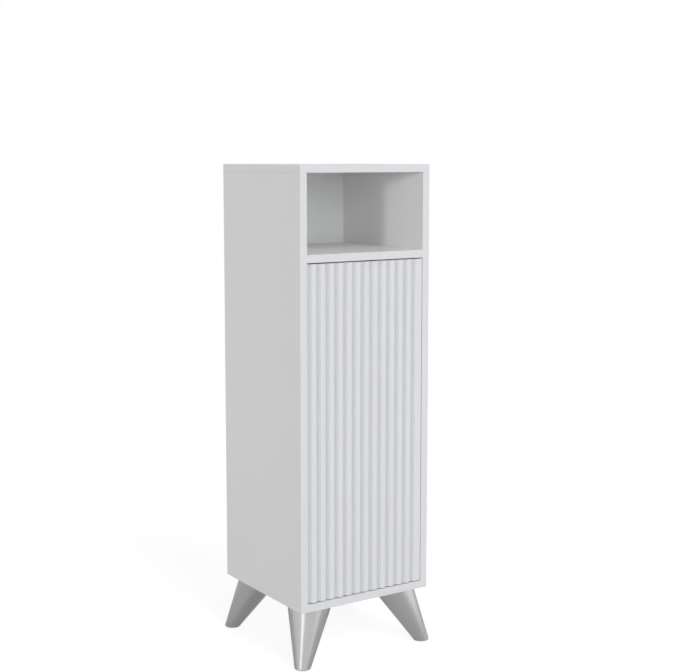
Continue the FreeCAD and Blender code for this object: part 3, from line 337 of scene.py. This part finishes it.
backFinish = {
    # painted light: set lighter like the boards' white, so the niche's back reads as if lit by more
    # bounce light
    "white": (0.88, 0.88, 0.875, 1.0),
    "toneSpread": 0.985,
    "whiteRoughness": 0.45,
    "patchScale": 14.0,
    "skin": 0.02,               # share of the thickness that counts as a faced side
    "brown": (0.30, 0.17, 0.085, 1.0),
    "palerBrown": (0.42, 0.26, 0.14, 1.0),
    "brownFrom": 0.35,
    "brownTo": 0.65,
    "brownRoughness": 0.8,
    "cloudScale": 12.0,
    "cloudDetail": 3.0,
    "cloudShare": 0.4,
    "fibreScale": 900.0,
    "fibreDetail": 4.0,
    "fibreRoughness": 0.7,
    "fibreDepth": 0.00004,
    "screenPitch": 0.0014,      # the press screen's mesh, printed into the bare side
    "screenShare": 0.6,
    "screenTone": 0.3,
}


def screenPrint(tree, where, pitch):
    # the woven press screen, as rows and files of soft dents
    split = splitVector(tree, where)
    turns = 2 * math.pi / pitch
    rows = calc(tree, "SINE", calc(tree, "MULTIPLY", split["Z"], turns))
    files = calc(tree, "SINE", calc(tree, "MULTIPLY", split["X"], turns))
    return calc(tree, "MULTIPLY", rows, files)


def backMaterial(name):
    # hardboard: lacquered white towards the room, bare and brown towards the wall
    finish = backFinish
    material, tree, sockets = newMaterial(name)
    sides = useGroup(tree, cutFaceGroup, Across=(0.0, 1.0, 0.0), Skin=finish["skin"])
    bare = calc(tree, "MAXIMUM", sides["Cut"], sides["FarSide"])
    patches = useGroup(tree, handlingGroup, PatchScale=finish["patchScale"])["Patches"]
    where = coordinates(tree)["Object"]
    fibre = noise(tree, where, finish["fibreScale"], finish["fibreDetail"], finish["fibreRoughness"])
    cloud = noise(tree, where, finish["cloudScale"], finish["cloudDetail"])
    screen = screenPrint(tree, where, finish["screenPitch"])
    stain = spread(tree, blendValues(tree, finish["cloudShare"], fibre, cloud),
                   finish["brownFrom"], finish["brownTo"])
    browns = blendColours(tree, stain, finish["brown"], finish["palerBrown"])
    printed = blendColours(tree, spread(tree, screen, -1.0, 1.0, 0.0, finish["screenTone"]),
                           browns, finish["brown"])
    whites = handledTone(tree, patches, finish["white"], finish["toneSpread"])
    feed(tree, sockets["Base Color"], blendColours(tree, bare, whites, printed))
    feed(tree, sockets["Roughness"],
         blendValues(tree, bare, finish["whiteRoughness"], finish["brownRoughness"]))
    rough = blendValues(tree, finish["screenShare"], fibre, screen)
    peel = useGroup(tree, peelGroup, Scale=boardFinish["peelScale"])["Height"]
    height = blendValues(tree, bare, calc(tree, "MULTIPLY", peel, boardFinish["peelDepth"]),
                         calc(tree, "MULTIPLY", rough, finish["fibreDepth"]))
    addBump(tree, sockets, height, 1.0)
    return material


bandFinish = {
    # painted shade: set darker than the boards' white of the same finish, so the inside reads lighter
    # and the gaps darker
    "white": (0.767, 0.768, 0.784, 1.0),
    "toneSpread": 0.99,
    "roughness": 0.4,
    "roughnessSpread": 0.03,
    "patchScale": 30.0,
    "peelScale": 900.0,
    "peelDepth": 0.000004,
    "sideways": 0.7,            # how squarely a strip faces sideways where it has the board's white
}


def bandMaterial(name):
    # satin edge band in a darker copy of the boards' white, as painted shade; its strips that face
    # sideways have the boards' lighter white
    finish = bandFinish
    material, tree, sockets = newMaterial(name)
    patches = useGroup(tree, handlingGroup, PatchScale=finish["patchScale"])["Patches"]
    peel = useGroup(tree, peelGroup, Scale=finish["peelScale"])["Height"]
    tone = handledTone(tree, patches, finish["white"], finish["toneSpread"])
    across = splitVector(tree, coordinates(tree)["Normal"])["X"]
    sideways = calc(tree, "GREATER_THAN", calc(tree, "ABSOLUTE", across), finish["sideways"])
    feed(tree, sockets["Base Color"], blendColours(tree, sideways, tone, boardFinish["white"]))
    feed(tree, sockets["Roughness"], handledGloss(tree, patches, finish))
    addBump(tree, sockets, peel, finish["peelDepth"])
    return material


doorFinish = {
    # painted shade: set darker than the boards' white, so the inside reads lighter and the gaps beside
    # the door darker
    "white": (0.777, 0.776, 0.801, 1.0),
    "toneSpread": 0.995,
    "roughness": 0.46,
    "roughnessSpread": 0.02,
    "patchScale": 30.0,
    "peelScale": 800.0,
    "peelDepth": 0.000003,
    "paintedFluteShade": 0.88,         # painted shade: the darker tone at the bottom of a flute
    "shadeFrom": 0.0004,        # depths below the door's face
    "shadeTo": 0.0046,
    "shadeEnd": 0.0053,
}


def doorMaterial(name):
    # matt-satin foil, darkened down in the flutes by painted shade
    finish = doorFinish
    material, tree, sockets = newMaterial(name)
    patches = useGroup(tree, handlingGroup, PatchScale=finish["patchScale"])["Patches"]
    peel = useGroup(tree, peelGroup, Scale=finish["peelScale"])["Height"]
    tone = handledTone(tree, patches, finish["white"], finish["toneSpread"])
    inwards = splitVector(tree, coordinates(tree)["Object"])["Y"]
    depth = calc(tree, "SUBTRACT", inwards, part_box("door_panel")[0].y)
    # painted shade: the flutes' hollows darken with depth below the door's face
    paintedShadeMask = calc(tree, "MULTIPLY", spread(tree, depth, finish["shadeFrom"], finish["shadeTo"]),
                   calc(tree, "LESS_THAN", depth, finish["shadeEnd"]))
    paintedShadeTone = shadeOf(finish["white"], finish["paintedFluteShade"])
    feed(tree, sockets["Base Color"], blendColours(tree, paintedShadeMask, tone, paintedShadeTone))
    feed(tree, sockets["Roughness"], handledGloss(tree, patches, finish))
    addBump(tree, sockets, peel, finish["peelDepth"])
    return material


fibreFinish = {
    "dark": (0.36, 0.25, 0.15, 1.0),
    "pale": (0.52, 0.39, 0.26, 1.0),
    "scale": 1800.0,
    "detail": 3.0,
    "grit": 0.7,
    "smoothest": 0.8,
    "roughest": 0.95,
    "depth": 0.00006,
}


def fibreMaterial(name):
    # bare fibreboard inside the door's bores
    finish = fibreFinish
    material, tree, sockets = newMaterial(name)
    fibre = noise(tree, coordinates(tree)["Object"], finish["scale"], finish["detail"], finish["grit"])
    feed(tree, sockets["Base Color"], blendColours(tree, fibre, finish["dark"], finish["pale"]))
    feed(tree, sockets["Roughness"],
         spread(tree, fibre, 0.0, 1.0, finish["smoothest"], finish["roughest"]))
    addBump(tree, sockets, fibre, finish["depth"])
    return material


metals = {
    "satinSilver": {"tone": (0.52, 0.52, 0.525, 1.0), "roughness": 0.24, "roughnessSpread": 0.02,
                    "stretch": (15.0, 15.0, 900.0), "markDepth": 0.0000004},
    "nickelPlate": {"tone": (0.66, 0.65, 0.62, 1.0), "roughness": 0.24, "roughnessSpread": 0.06,
                    "stretch": (900.0, 40.0, 40.0), "markDepth": 0.000003},
    "zincPlate": {"tone": (0.58, 0.59, 0.61, 1.0), "roughness": 0.36, "roughnessSpread": 0.06,
                  "stretch": (300.0, 300.0, 120.0), "markDepth": 0.000003},
}
metalLook = {
    "patchScale": 22.0,
    "markTone": 0.93,           # the darkest tone between the marks
    "markShare": 0.5,           # share of the marks in the changes of gloss
    "glossFrom": 0.2,
    "glossTo": 0.8,
}


def metalMaterial(name):
    # plated or satin metal with fine marks; roughness follows the marks and the handled patches
    metal = metals[name]
    material, tree, sockets = newMaterial(name, Metallic=1.0)
    patches = useGroup(tree, handlingGroup, PatchScale=metalLook["patchScale"])["Patches"]
    marks = useGroup(tree, brushGroup, Stretch=metal["stretch"])["Marks"]
    feed(tree, sockets["Base Color"], handledTone(tree, marks, metal["tone"], metalLook["markTone"]))
    uneven = blendValues(tree, metalLook["markShare"], patches, marks)
    feed(tree, sockets["Roughness"],
         spread(tree, uneven, metalLook["glossFrom"], metalLook["glossTo"],
                metal["roughness"] - metal["roughnessSpread"],
                metal["roughness"] + metal["roughnessSpread"]))
    addBump(tree, sockets, marks, metal["markDepth"])
    return material


beechFinish = {
    "stretch": (30.0, 600.0, 600.0),
    "grainDetail": 4.0,
    "grainRoughness": 0.6,
    "poreScale": 4.0,
    "poreDetail": 1.0,
    "poreFrom": 0.6,
    "poreTo": 0.7,
    "dark": (0.50, 0.33, 0.19, 1.0),
    "pale": (0.70, 0.51, 0.33, 1.0),
    "pores": (0.36, 0.22, 0.12, 1.0),
    "smoothest": 0.5,
    "roughest": 0.65,
    "depth": 0.00005,
}


def beechMaterial(name):
    # beech dowels, with straight grain along X
    finish = beechFinish
    material, tree, sockets = newMaterial(name)
    pulled = vectorCalc(tree, "MULTIPLY", coordinates(tree)["Object"], finish["stretch"])
    grain = noise(tree, pulled, 1.0, finish["grainDetail"], finish["grainRoughness"])
    pores = spread(tree, noise(tree, pulled, finish["poreScale"], finish["poreDetail"]),
                   finish["poreFrom"], finish["poreTo"])
    tone = blendColours(tree, grain, finish["dark"], finish["pale"])
    feed(tree, sockets["Base Color"], blendColours(tree, pores, tone, finish["pores"]))
    feed(tree, sockets["Roughness"],
         spread(tree, grain, 0.0, 1.0, finish["smoothest"], finish["roughest"]))
    addBump(tree, sockets, grain, finish["depth"])
    return material


mouldings = {
    "greyMoulding": {"tone": (0.45, 0.46, 0.47, 1.0), "roughness": 0.5, "roughnessSpread": 0.05},
    "whiteMoulding": {"tone": (0.82, 0.82, 0.81, 1.0), "roughness": 0.42, "roughnessSpread": 0.05},
    "blackMoulding": {"tone": (0.05, 0.05, 0.05, 1.0), "roughness": 0.55, "roughnessSpread": 0.05},
}
mouldingLook = {
    "toneSpread": 0.97,
    "patchScale": 30.0,
    "peelScale": 500.0,
    "peelDepth": 0.000015,
}


def mouldingMaterial(name):
    # moulded plastic with a fine grained skin
    finish = mouldings[name]
    material, tree, sockets = newMaterial(name)
    patches = useGroup(tree, handlingGroup, PatchScale=mouldingLook["patchScale"])["Patches"]
    peel = useGroup(tree, peelGroup, Scale=mouldingLook["peelScale"])["Height"]
    tone = handledTone(tree, patches, finish["tone"], mouldingLook["toneSpread"])
    feed(tree, sockets["Base Color"], tone)
    feed(tree, sockets["Roughness"], handledGloss(tree, patches, finish))
    addBump(tree, sockets, peel, mouldingLook["peelDepth"])
    return material


uprightBoard = boardMaterial("melamineUpright", (1.0, 0.0, 0.0))
levelBoard = boardMaterial("melamineLevel", (0.0, 0.0, 1.0))
hardboard = backMaterial("hardboardBack")
edgeBand = bandMaterial("edgeBandWhite")
doorSkin = doorMaterial("doorFoil")
bareFibre = fibreMaterial("bareFibreboard")
legMetal = metalMaterial("satinSilver")
nickel = metalMaterial("nickelPlate")
zinc = metalMaterial("zincPlate")
beech = beechMaterial("beechDowel")
greyPlastic = mouldingMaterial("greyMoulding")
whitePlastic = mouldingMaterial("whiteMoulding")
blackPlastic = mouldingMaterial("blackMoulding")
print("materials made")


# Every carried node gets its finish

finishes = (
    (uprightBoard, ("left_side_panel", "right_side_panel")),
    (levelBoard, ("top_panel", "bottom_panel", "niche_shelf", "adjustable_shelf_lower",
                  "adjustable_shelf_upper")),
    (hardboard, ("back_panel",)),
    (edgeBand, ("left_side_edge_band", "right_side_edge_band", "top_panel_edge_bands",
                "bottom_panel_edge_band", "niche_shelf_edge_band", "adjustable_shelf_edge_bands")),
    (nickel, ("shelf_pins", "hinge_plate_lower", "hinge_plate_upper", "hinge_arm_lower",
              "hinge_arm_upper", "hinge_cup_lower", "hinge_cup_upper", "hinge_pins", "strike_plate")),
    (zinc, ("cam_locks", "cam_bolts", "hinge_plate_screws", "hinge_arm_screws", "hinge_cup_screws",
            "push_latch_screws", "push_latch_spring", "strike_plate_screw", "leg_plate_screws",
            "leg_studs")),
    (legMetal, ("leg_front_left", "leg_front_right", "leg_rear_left", "leg_rear_right")),
    (beech, ("wood_dowels",)),
    (greyPlastic, ("push_latch_body", "leg_glides")),
    (whitePlastic, ("push_latch_plunger",)),
    (blackPlastic, ("leg_mounting_plates",)),
)
for material, names in finishes:
    for name in names:
        skins = cadNodes[name].data.materials
        skins.clear()
        skins.append(material)
print("finishes given")


# The door: one profile with its flutes, drawn up the door's height, then bored from behind

door = {
    "fluteCount": 13,
    "firstFlute": 0.0035,       # the middle of the first flute from the door's left edge
    "flutePitch": 0.0235,
    "fluteWidth": 0.0117,
    "fluteDepth": 0.005,
    "fluteSteps": 20,
    "lipRadius": 0.0005,        # rounding where a flute meets the face
    "lipSteps": 5,
    "arris": 0.0004,            # rounding of the outer edges
    "arrisSteps": 4,
    "mitreLimit": 0.5,          # keeps a sharp corner from running out when the outline is inset
    "cupFromEdge": 0.0225,
    "cupRadius": 0.0176,
    "cupBore": 0.0119,
    "cupScrewIn": 0.032,
    "cupScrewReach": 0.0225,
    "strikeScrewIn": 0.008,
    "screwRadius": 0.00177,
    "screwBore": 0.0111,
    "boreOverrun": 0.0016,      # how far a bore's cutter stands out behind the door
    "boreSides": 96,
    "sharpAngle": math.radians(32),
    "normalWeight": 100,
}


def arcPoints(centre, radius, start, end, steps):
    # points of an arc in the level plane, angles from +X towards +Y
    points = []
    for step in range(steps + 1):
        angle = start + (end - start) * step / steps
        points.append((centre[0] + radius * math.cos(angle), centre[1] + radius * math.sin(angle)))
    return points


def fluteRadius():
    half = door["fluteWidth"] / 2
    return (half ** 2 + door["fluteDepth"] ** 2) / (2 * door["fluteDepth"])


def doorOutline(left, right, front, back):
    # the door's section seen from above, from its left edge along the front to the right and back,
    # and the seams: pairs of points, at the bottom of each whole flute and straight behind it
    radius = fluteRadius()
    rise = radius - door["fluteDepth"]          # how far the arc's centre lies before the face
    lip = door["lipRadius"]
    reach = radius + lip
    aside = math.sqrt(reach ** 2 - (lip + rise) ** 2)
    lean = math.atan2(lip + rise, aside)
    arris = door["arris"]
    points = []
    bottoms = []
    for count in range(door["fluteCount"]):
        middle = left + door["firstFlute"] + door["flutePitch"] * count
        centre = (middle, front - rise)
        if middle - aside > left:
            points += arcPoints((middle - aside, front + lip), lip, -math.pi / 2, -lean,
                                door["lipSteps"])
            begin = math.pi - lean
            bottoms.append(len(points) + door["fluteSteps"] // 2 - 1)
        else:
            # the door's left edge cuts this flute
            begin = math.pi - math.acos((middle - left) / radius)
            points.append((left, centre[1] + radius * math.sin(begin)))
        points += arcPoints(centre, radius, begin, lean, door["fluteSteps"])[1:]
        points += arcPoints((middle + aside, front + lip), lip, math.pi + lean, math.pi * 1.5,
                            door["lipSteps"])[1:]
    for y, turn in ((front + arris, -0.5), (back - arris, 0.0)):
        points += arcPoints((right - arris, y), arris, turn * math.pi, (turn + 0.5) * math.pi,
                            door["arrisSteps"])
    seams = []
    for bottom in reversed(bottoms):
        seams.insert(0, (bottom, len(points)))
        points.append((points[bottom][0], back))
    points += arcPoints((left + arris, back - arris), arris, math.pi / 2, math.pi,
                        door["arrisSteps"])
    return points, seams


def insetPoints(points, distance):
    # each point moves into the section, square to the outline there
    moved = []
    for index, (x, y) in enumerate(points):
        before = Vector(points[index - 1])
        after = Vector(points[(index + 1) % len(points)])
        here = Vector((x, y))
        first = (here - before).normalized()
        second = (after - here).normalized()
        along = (first + second).normalized()
        inward = Vector((-along.y, along.x))
        moved.append(here + inward * distance / max(door["mitreLimit"], along.dot(first)))
    return moved


def endCells(ring, seams):
    # an end face in cells from seam to seam, because one large concave face triangulates badly
    cells = []
    lastFront = 0
    lastBack = len(ring) - 1
    for front, back in seams:
        cells.append(ring[lastFront:front + 1] + ring[back:lastBack + 1])
        lastFront = front
        lastBack = back
    cells.append(ring[lastFront:lastBack + 1])
    return cells


def meshFromRings(name, rings, seams):
    # rings of equal length from low to high, closed at each end
    build = bmesh.new()
    loops = [[build.verts.new(point) for point in ring] for ring in rings]
    for lower, upper in zip(loops, loops[1:]):
        for index in range(len(lower)):
            follow = (index + 1) % len(lower)
            build.faces.new((lower[index], lower[follow], upper[follow], upper[index]))
    for cell in endCells(loops[0], seams):
        build.faces.new(list(reversed(cell)))
    for cell in endCells(loops[-1], seams):
        build.faces.new(cell)
    build.normal_update()
    mesh = bpy.data.meshes.new(name)
    build.to_mesh(mesh)
    build.free()
    return mesh


def borePlaces(low, high):
    # x, z, radius, start and end of each bore, behind the fittings that it takes
    past = high.y + door["boreOverrun"]
    screwStart = high.y - door["screwBore"]
    bores = []
    for cup in ("hinge_cup_lower", "hinge_cup_upper"):
        cupLow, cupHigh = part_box(cup)
        level = (cupLow.z + cupHigh.z) / 2
        bores.append((low.x + door["cupFromEdge"], level, door["cupRadius"],
                      high.y - door["cupBore"], past))
        for side in (-1, 1):
            bores.append((low.x + door["cupScrewIn"], level + side * door["cupScrewReach"],
                          door["screwRadius"], screwStart, past))
    screwLow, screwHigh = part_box("strike_plate_screw")
    bores.append((high.x - door["strikeScrewIn"], (screwLow.z + screwHigh.z) / 2,
                  door["screwRadius"], screwStart, past))
    return bores


def boreMesh(bores):
    # closed cylinders along Y, each running out past the face that it is drilled from
    build = bmesh.new()
    for x, z, radius, start, end in bores:
        turned = Matrix.Translation((x, (start + end) / 2, z)) @ Matrix.Rotation(math.pi / 2, 4, "X")
        bmesh.ops.create_cone(build, cap_ends=True, segments=door["boreSides"], radius1=radius,
                              radius2=radius, depth=end - start, matrix=turned)
    mesh = bpy.data.meshes.new("doorBores")
    build.to_mesh(mesh)
    build.free()
    return mesh


def applyModifiers(piece):
    graph = bpy.context.evaluated_depsgraph_get()
    shaped = bpy.data.meshes.new_from_object(piece.evaluated_get(graph), depsgraph=graph)
    piece.modifiers.clear()
    piece.data = shaped


def drillBores(piece, bores):
    cutter = bpy.data.objects.new("doorBores", boreMesh(bores))
    scene.collection.objects.link(cutter)
    cutter.data.materials.append(bareFibre)
    drill = piece.modifiers.new("bores", "BOOLEAN")
    drill.object = cutter
    drill.operation = "DIFFERENCE"
    drill.solver = "EXACT"
    drill.material_mode = "TRANSFER"
    applyModifiers(piece)
    bpy.data.objects.remove(cutter)


def smoothShade(piece):
    # flat faces stay flat and the small roundings carry the turn
    piece.data.shade_smooth()
    piece.data.set_sharp_from_angle(angle=door["sharpAngle"])
    weighted = piece.modifiers.new("weighted", "WEIGHTED_NORMAL")
    weighted.keep_sharp = True
    weighted.weight = door["normalWeight"]
    applyModifiers(piece)


def buildDoor():
    low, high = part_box("door_panel")
    outline, seams = doorOutline(low.x, high.x, low.y, high.y)
    arris = door["arris"]
    rings = []
    for step in range(door["arrisSteps"] + 1):
        angle = math.pi / 2 * (1 - step / door["arrisSteps"])
        inner = insetPoints(outline, arris * (1 - math.cos(angle)))
        rings.append((inner, arris * (1 - math.sin(angle))))
    lowerRings = [[(x, y, low.z + rise) for x, y in ring] for ring, rise in rings]
    upperRings = [[(x, y, high.z - rise) for x, y in ring] for ring, rise in reversed(rings)]
    mesh = meshFromRings("flutedDoor", lowerRings + upperRings, seams)
    piece = bpy.data.objects.new("flutedDoor", mesh)
    scene.collection.objects.link(piece)
    piece.data.materials.append(doorSkin)
    piece.data.materials.append(bareFibre)
    drillBores(piece, borePlaces(low, high))
    smoothShade(piece)
    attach(piece, "door")
    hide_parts("door_panel")
    return piece


doorPiece = buildDoor()
print("door built:", len(doorPiece.data.polygons), "faces")


# Studio: pale floor, white surroundings, soft lamps

studio = {
    "floorHalf": 6.0,
    "floorLevel": -0.0002,      # a hair below the glides
    "floorTone": 0.85,          # the paper, as light and reflections meet it
    "seenTone": 0.42,           # the paper's share of what the camera sees of the floor
    "seenGlow": 0.79,           # fills the unshaded floor up to white for the camera
    "mirroredGlow": 0.1,        # the same in reflections close to the legs
    "mottleScale": 3.0,
    "mottleDetail": 4.0,
    "mottleFrom": 0.3,
    "mottleTo": 0.7,
    "mottleTone": 0.98,         # tone of the darkest mottles
    "fadeStart": 0.7,           # from here outwards the floor turns into plain white
    "fadeEnd": 2.2,
    "surround": 0.33,           # light of the white room on the object
    "softEdge": 0.4,            # the soft share of a lamp's width in reflections
    "lampDistance": 4.0,
}


def rayMasks(tree):
    # 1 for rays from the camera, in reflections and through glass, and for either kind
    rays = place(tree, "LightPath").outputs
    camera = rays["Is Camera Ray"]
    mirrored = calc(tree, "MAXIMUM", rays["Is Glossy Ray"], rays["Is Transmission Ray"])
    return {"camera": camera, "mirrored": mirrored, "seen": calc(tree, "MAXIMUM", camera, mirrored)}


def floorMaterial(name):
    # paper with faint mottling, which turns into plain white further out
    material = bpy.data.materials.new(name)
    material.use_nodes = True
    tree = material.node_tree
    tree.nodes.clear()
    masks = rayMasks(tree)
    where = coordinates(tree)["Object"]
    fade = spread(tree, vectorCalc(tree, "LENGTH", where), studio["fadeStart"], studio["fadeEnd"])
    mottled = noise(tree, where, studio["mottleScale"], studio["mottleDetail"])
    mottle = spread(tree, mottled, studio["mottleFrom"], studio["mottleTo"], studio["mottleTone"], 1.0)
    tone = blendValues(tree, masks["camera"], studio["floorTone"], studio["seenTone"])
    paper = place(tree, "BsdfDiffuse")
    feed(tree, paper.inputs["Color"], calc(tree, "MULTIPLY", tone, mottle))
    glow = place(tree, "Emission")
    feed(tree, glow.inputs["Strength"],
         calc(tree, "ADD", calc(tree, "MULTIPLY", masks["camera"], studio["seenGlow"]),
              calc(tree, "MULTIPLY", masks["mirrored"], studio["mirroredGlow"])))
    near = place(tree, "AddShader")
    feed(tree, near.inputs[0], paper.outputs[0])
    feed(tree, near.inputs[1], glow.outputs[0])
    white = place(tree, "Emission")
    surface = place(tree, "MixShader")
    feed(tree, surface.inputs[0], calc(tree, "MULTIPLY", fade, masks["seen"]))
    feed(tree, surface.inputs[1], near.outputs[0])
    feed(tree, surface.inputs[2], white.outputs[0])
    out = place(tree, "OutputMaterial")
    feed(tree, out.inputs["Surface"], surface.outputs[0])
    return material


def buildFloor():
    half = studio["floorHalf"]
    level = studio["floorLevel"]
    corners = [(-half, -half, level), (half, -half, level), (half, half, level), (-half, half, level)]
    mesh = bpy.data.meshes.new("studioFloor")
    mesh.from_pydata(corners, [], [(0, 1, 2, 3)])
    floor = bpy.data.objects.new("studioFloor", mesh)
    scene.collection.objects.link(floor)
    mesh.materials.append(floorMaterial("studioFloor"))


# Each lamp: degrees left of the front, degrees up, degrees wide, watts per square metre, colour,
# and for two of them how much brighter than the room they stand in reflections, and how wide.
lamps = {
    "frontSoftbox": {"left": 13.0, "up": 8.0, "wide": 28.0, "strength": 0.64,
                     "colour": (0.96, 0.98, 1.0)},
    "rightSoftbox": {"left": -62.0, "up": 10.0, "wide": 30.0, "strength": 0.56,
                     "colour": (0.96, 0.98, 1.0), "shine": 0.75, "shineWide": 84.0},
    "windowStrip": {"left": 64.0, "up": 5.0, "wide": 6.0, "strength": 0.52,
                    "colour": (1.0, 1.0, 1.0), "shine": 1.3, "shineWide": 12.0},
    "leftSoftbox": {"left": 115.0, "up": 10.0, "wide": 50.0, "strength": 0.07,
                    "colour": (1.0, 1.0, 1.0)},
    "nicheLamp": {"left": -2.0, "up": 42.0, "wide": 24.0, "strength": 0.70,
                  "colour": (0.97, 0.985, 1.0)},
    "rearFill": {"left": -150.0, "up": 6.0, "wide": 50.0, "strength": 1.2,
                 "colour": (1.0, 1.0, 1.0)},
}


def shineBand(tree, heading, values):
    # an upright band of extra light with soft edges, round the lamp's heading
    left = math.radians(values["left"])
    towards = vectorCalc(tree, "DOT_PRODUCT", heading, (-math.sin(left), -math.cos(left), 0.0))
    edge = math.radians(values["shineWide"] / 2 * (1 + studio["softEdge"]))
    core = math.radians(values["shineWide"] / 2 * (1 - studio["softEdge"]))
    return spread(tree, towards, math.cos(edge), math.cos(core), 0.0, values["shine"])


def buildSurround():
    # an even room for the object and plain white for the camera; gloss also shows two lamps
    world = bpy.data.worlds.new("whiteRoom")
    scene.world = world
    world.use_nodes = True
    tree = world.node_tree
    background = tree.nodes["Background"]
    masks = rayMasks(tree)
    flat = vectorCalc(tree, "MULTIPLY", coordinates(tree)["Generated"], (1.0, 1.0, 0.0))
    heading = vectorCalc(tree, "NORMALIZE", flat)
    shine = 0.0
    for values in lamps.values():
        if "shine" in values:
            shine = calc(tree, "ADD", shineBand(tree, heading, values), shine)
    seenLight = calc(tree, "ADD", 1.0, calc(tree, "MULTIPLY", shine, masks["mirrored"]))
    feed(tree, background.inputs["Strength"],
         blendValues(tree, masks["seen"], studio["surround"], seenLight))
    feed(tree, background.inputs["Color"], (1.0, 1.0, 1.0, 1.0))


def buildLamp(name, values):
    lamp = bpy.data.lights.new(name, "SUN")
    lamp.energy = values["strength"]
    lamp.angle = math.radians(values["wide"])
    lamp.color = values["colour"]
    holder = bpy.data.objects.new(name, lamp)
    scene.collection.objects.link(holder)
    left = math.radians(values["left"])
    up = math.radians(values["up"])
    beam = Vector((math.sin(left) * math.cos(up), math.cos(left) * math.cos(up), -math.sin(up)))
    holder.rotation_euler = beam.to_track_quat("-Z", "Y").to_euler()
    holder.location = -beam * studio["lampDistance"]
    holder.visible_glossy = False   # the white room is what gloss shows


buildFloor()
buildSurround()
for name, values in lamps.items():
    buildLamp(name, values)
print("studio built:", len(lamps), "lamps")


# Camera, left of the front and a little above the middle

viewpoint = {
    "at": (-1.6622, -2.5864, 1.1427),
    "turn": 33.386,             # degrees from straight ahead towards the right
    "tilt": 6.549,              # degrees downwards
    "lens": 69.392,             # millimetres, as the sensor's width is
    "sensorWidth": 36.0,
    "shiftUp": -0.0397,
}


def buildCamera():
    eye = bpy.data.cameras.new("studioCamera")
    eye.sensor_width = viewpoint["sensorWidth"]
    eye.lens = viewpoint["lens"]
    eye.shift_y = viewpoint["shiftUp"]
    holder = bpy.data.objects.new("studioCamera", eye)
    scene.collection.objects.link(holder)
    holder.location = viewpoint["at"]
    holder.rotation_euler = (math.radians(90 - viewpoint["tilt"]), 0.0,
                             -math.radians(viewpoint["turn"]))
    scene.camera = holder
    scene.view_settings.view_transform = "Standard"


buildCamera()
print("camera set")
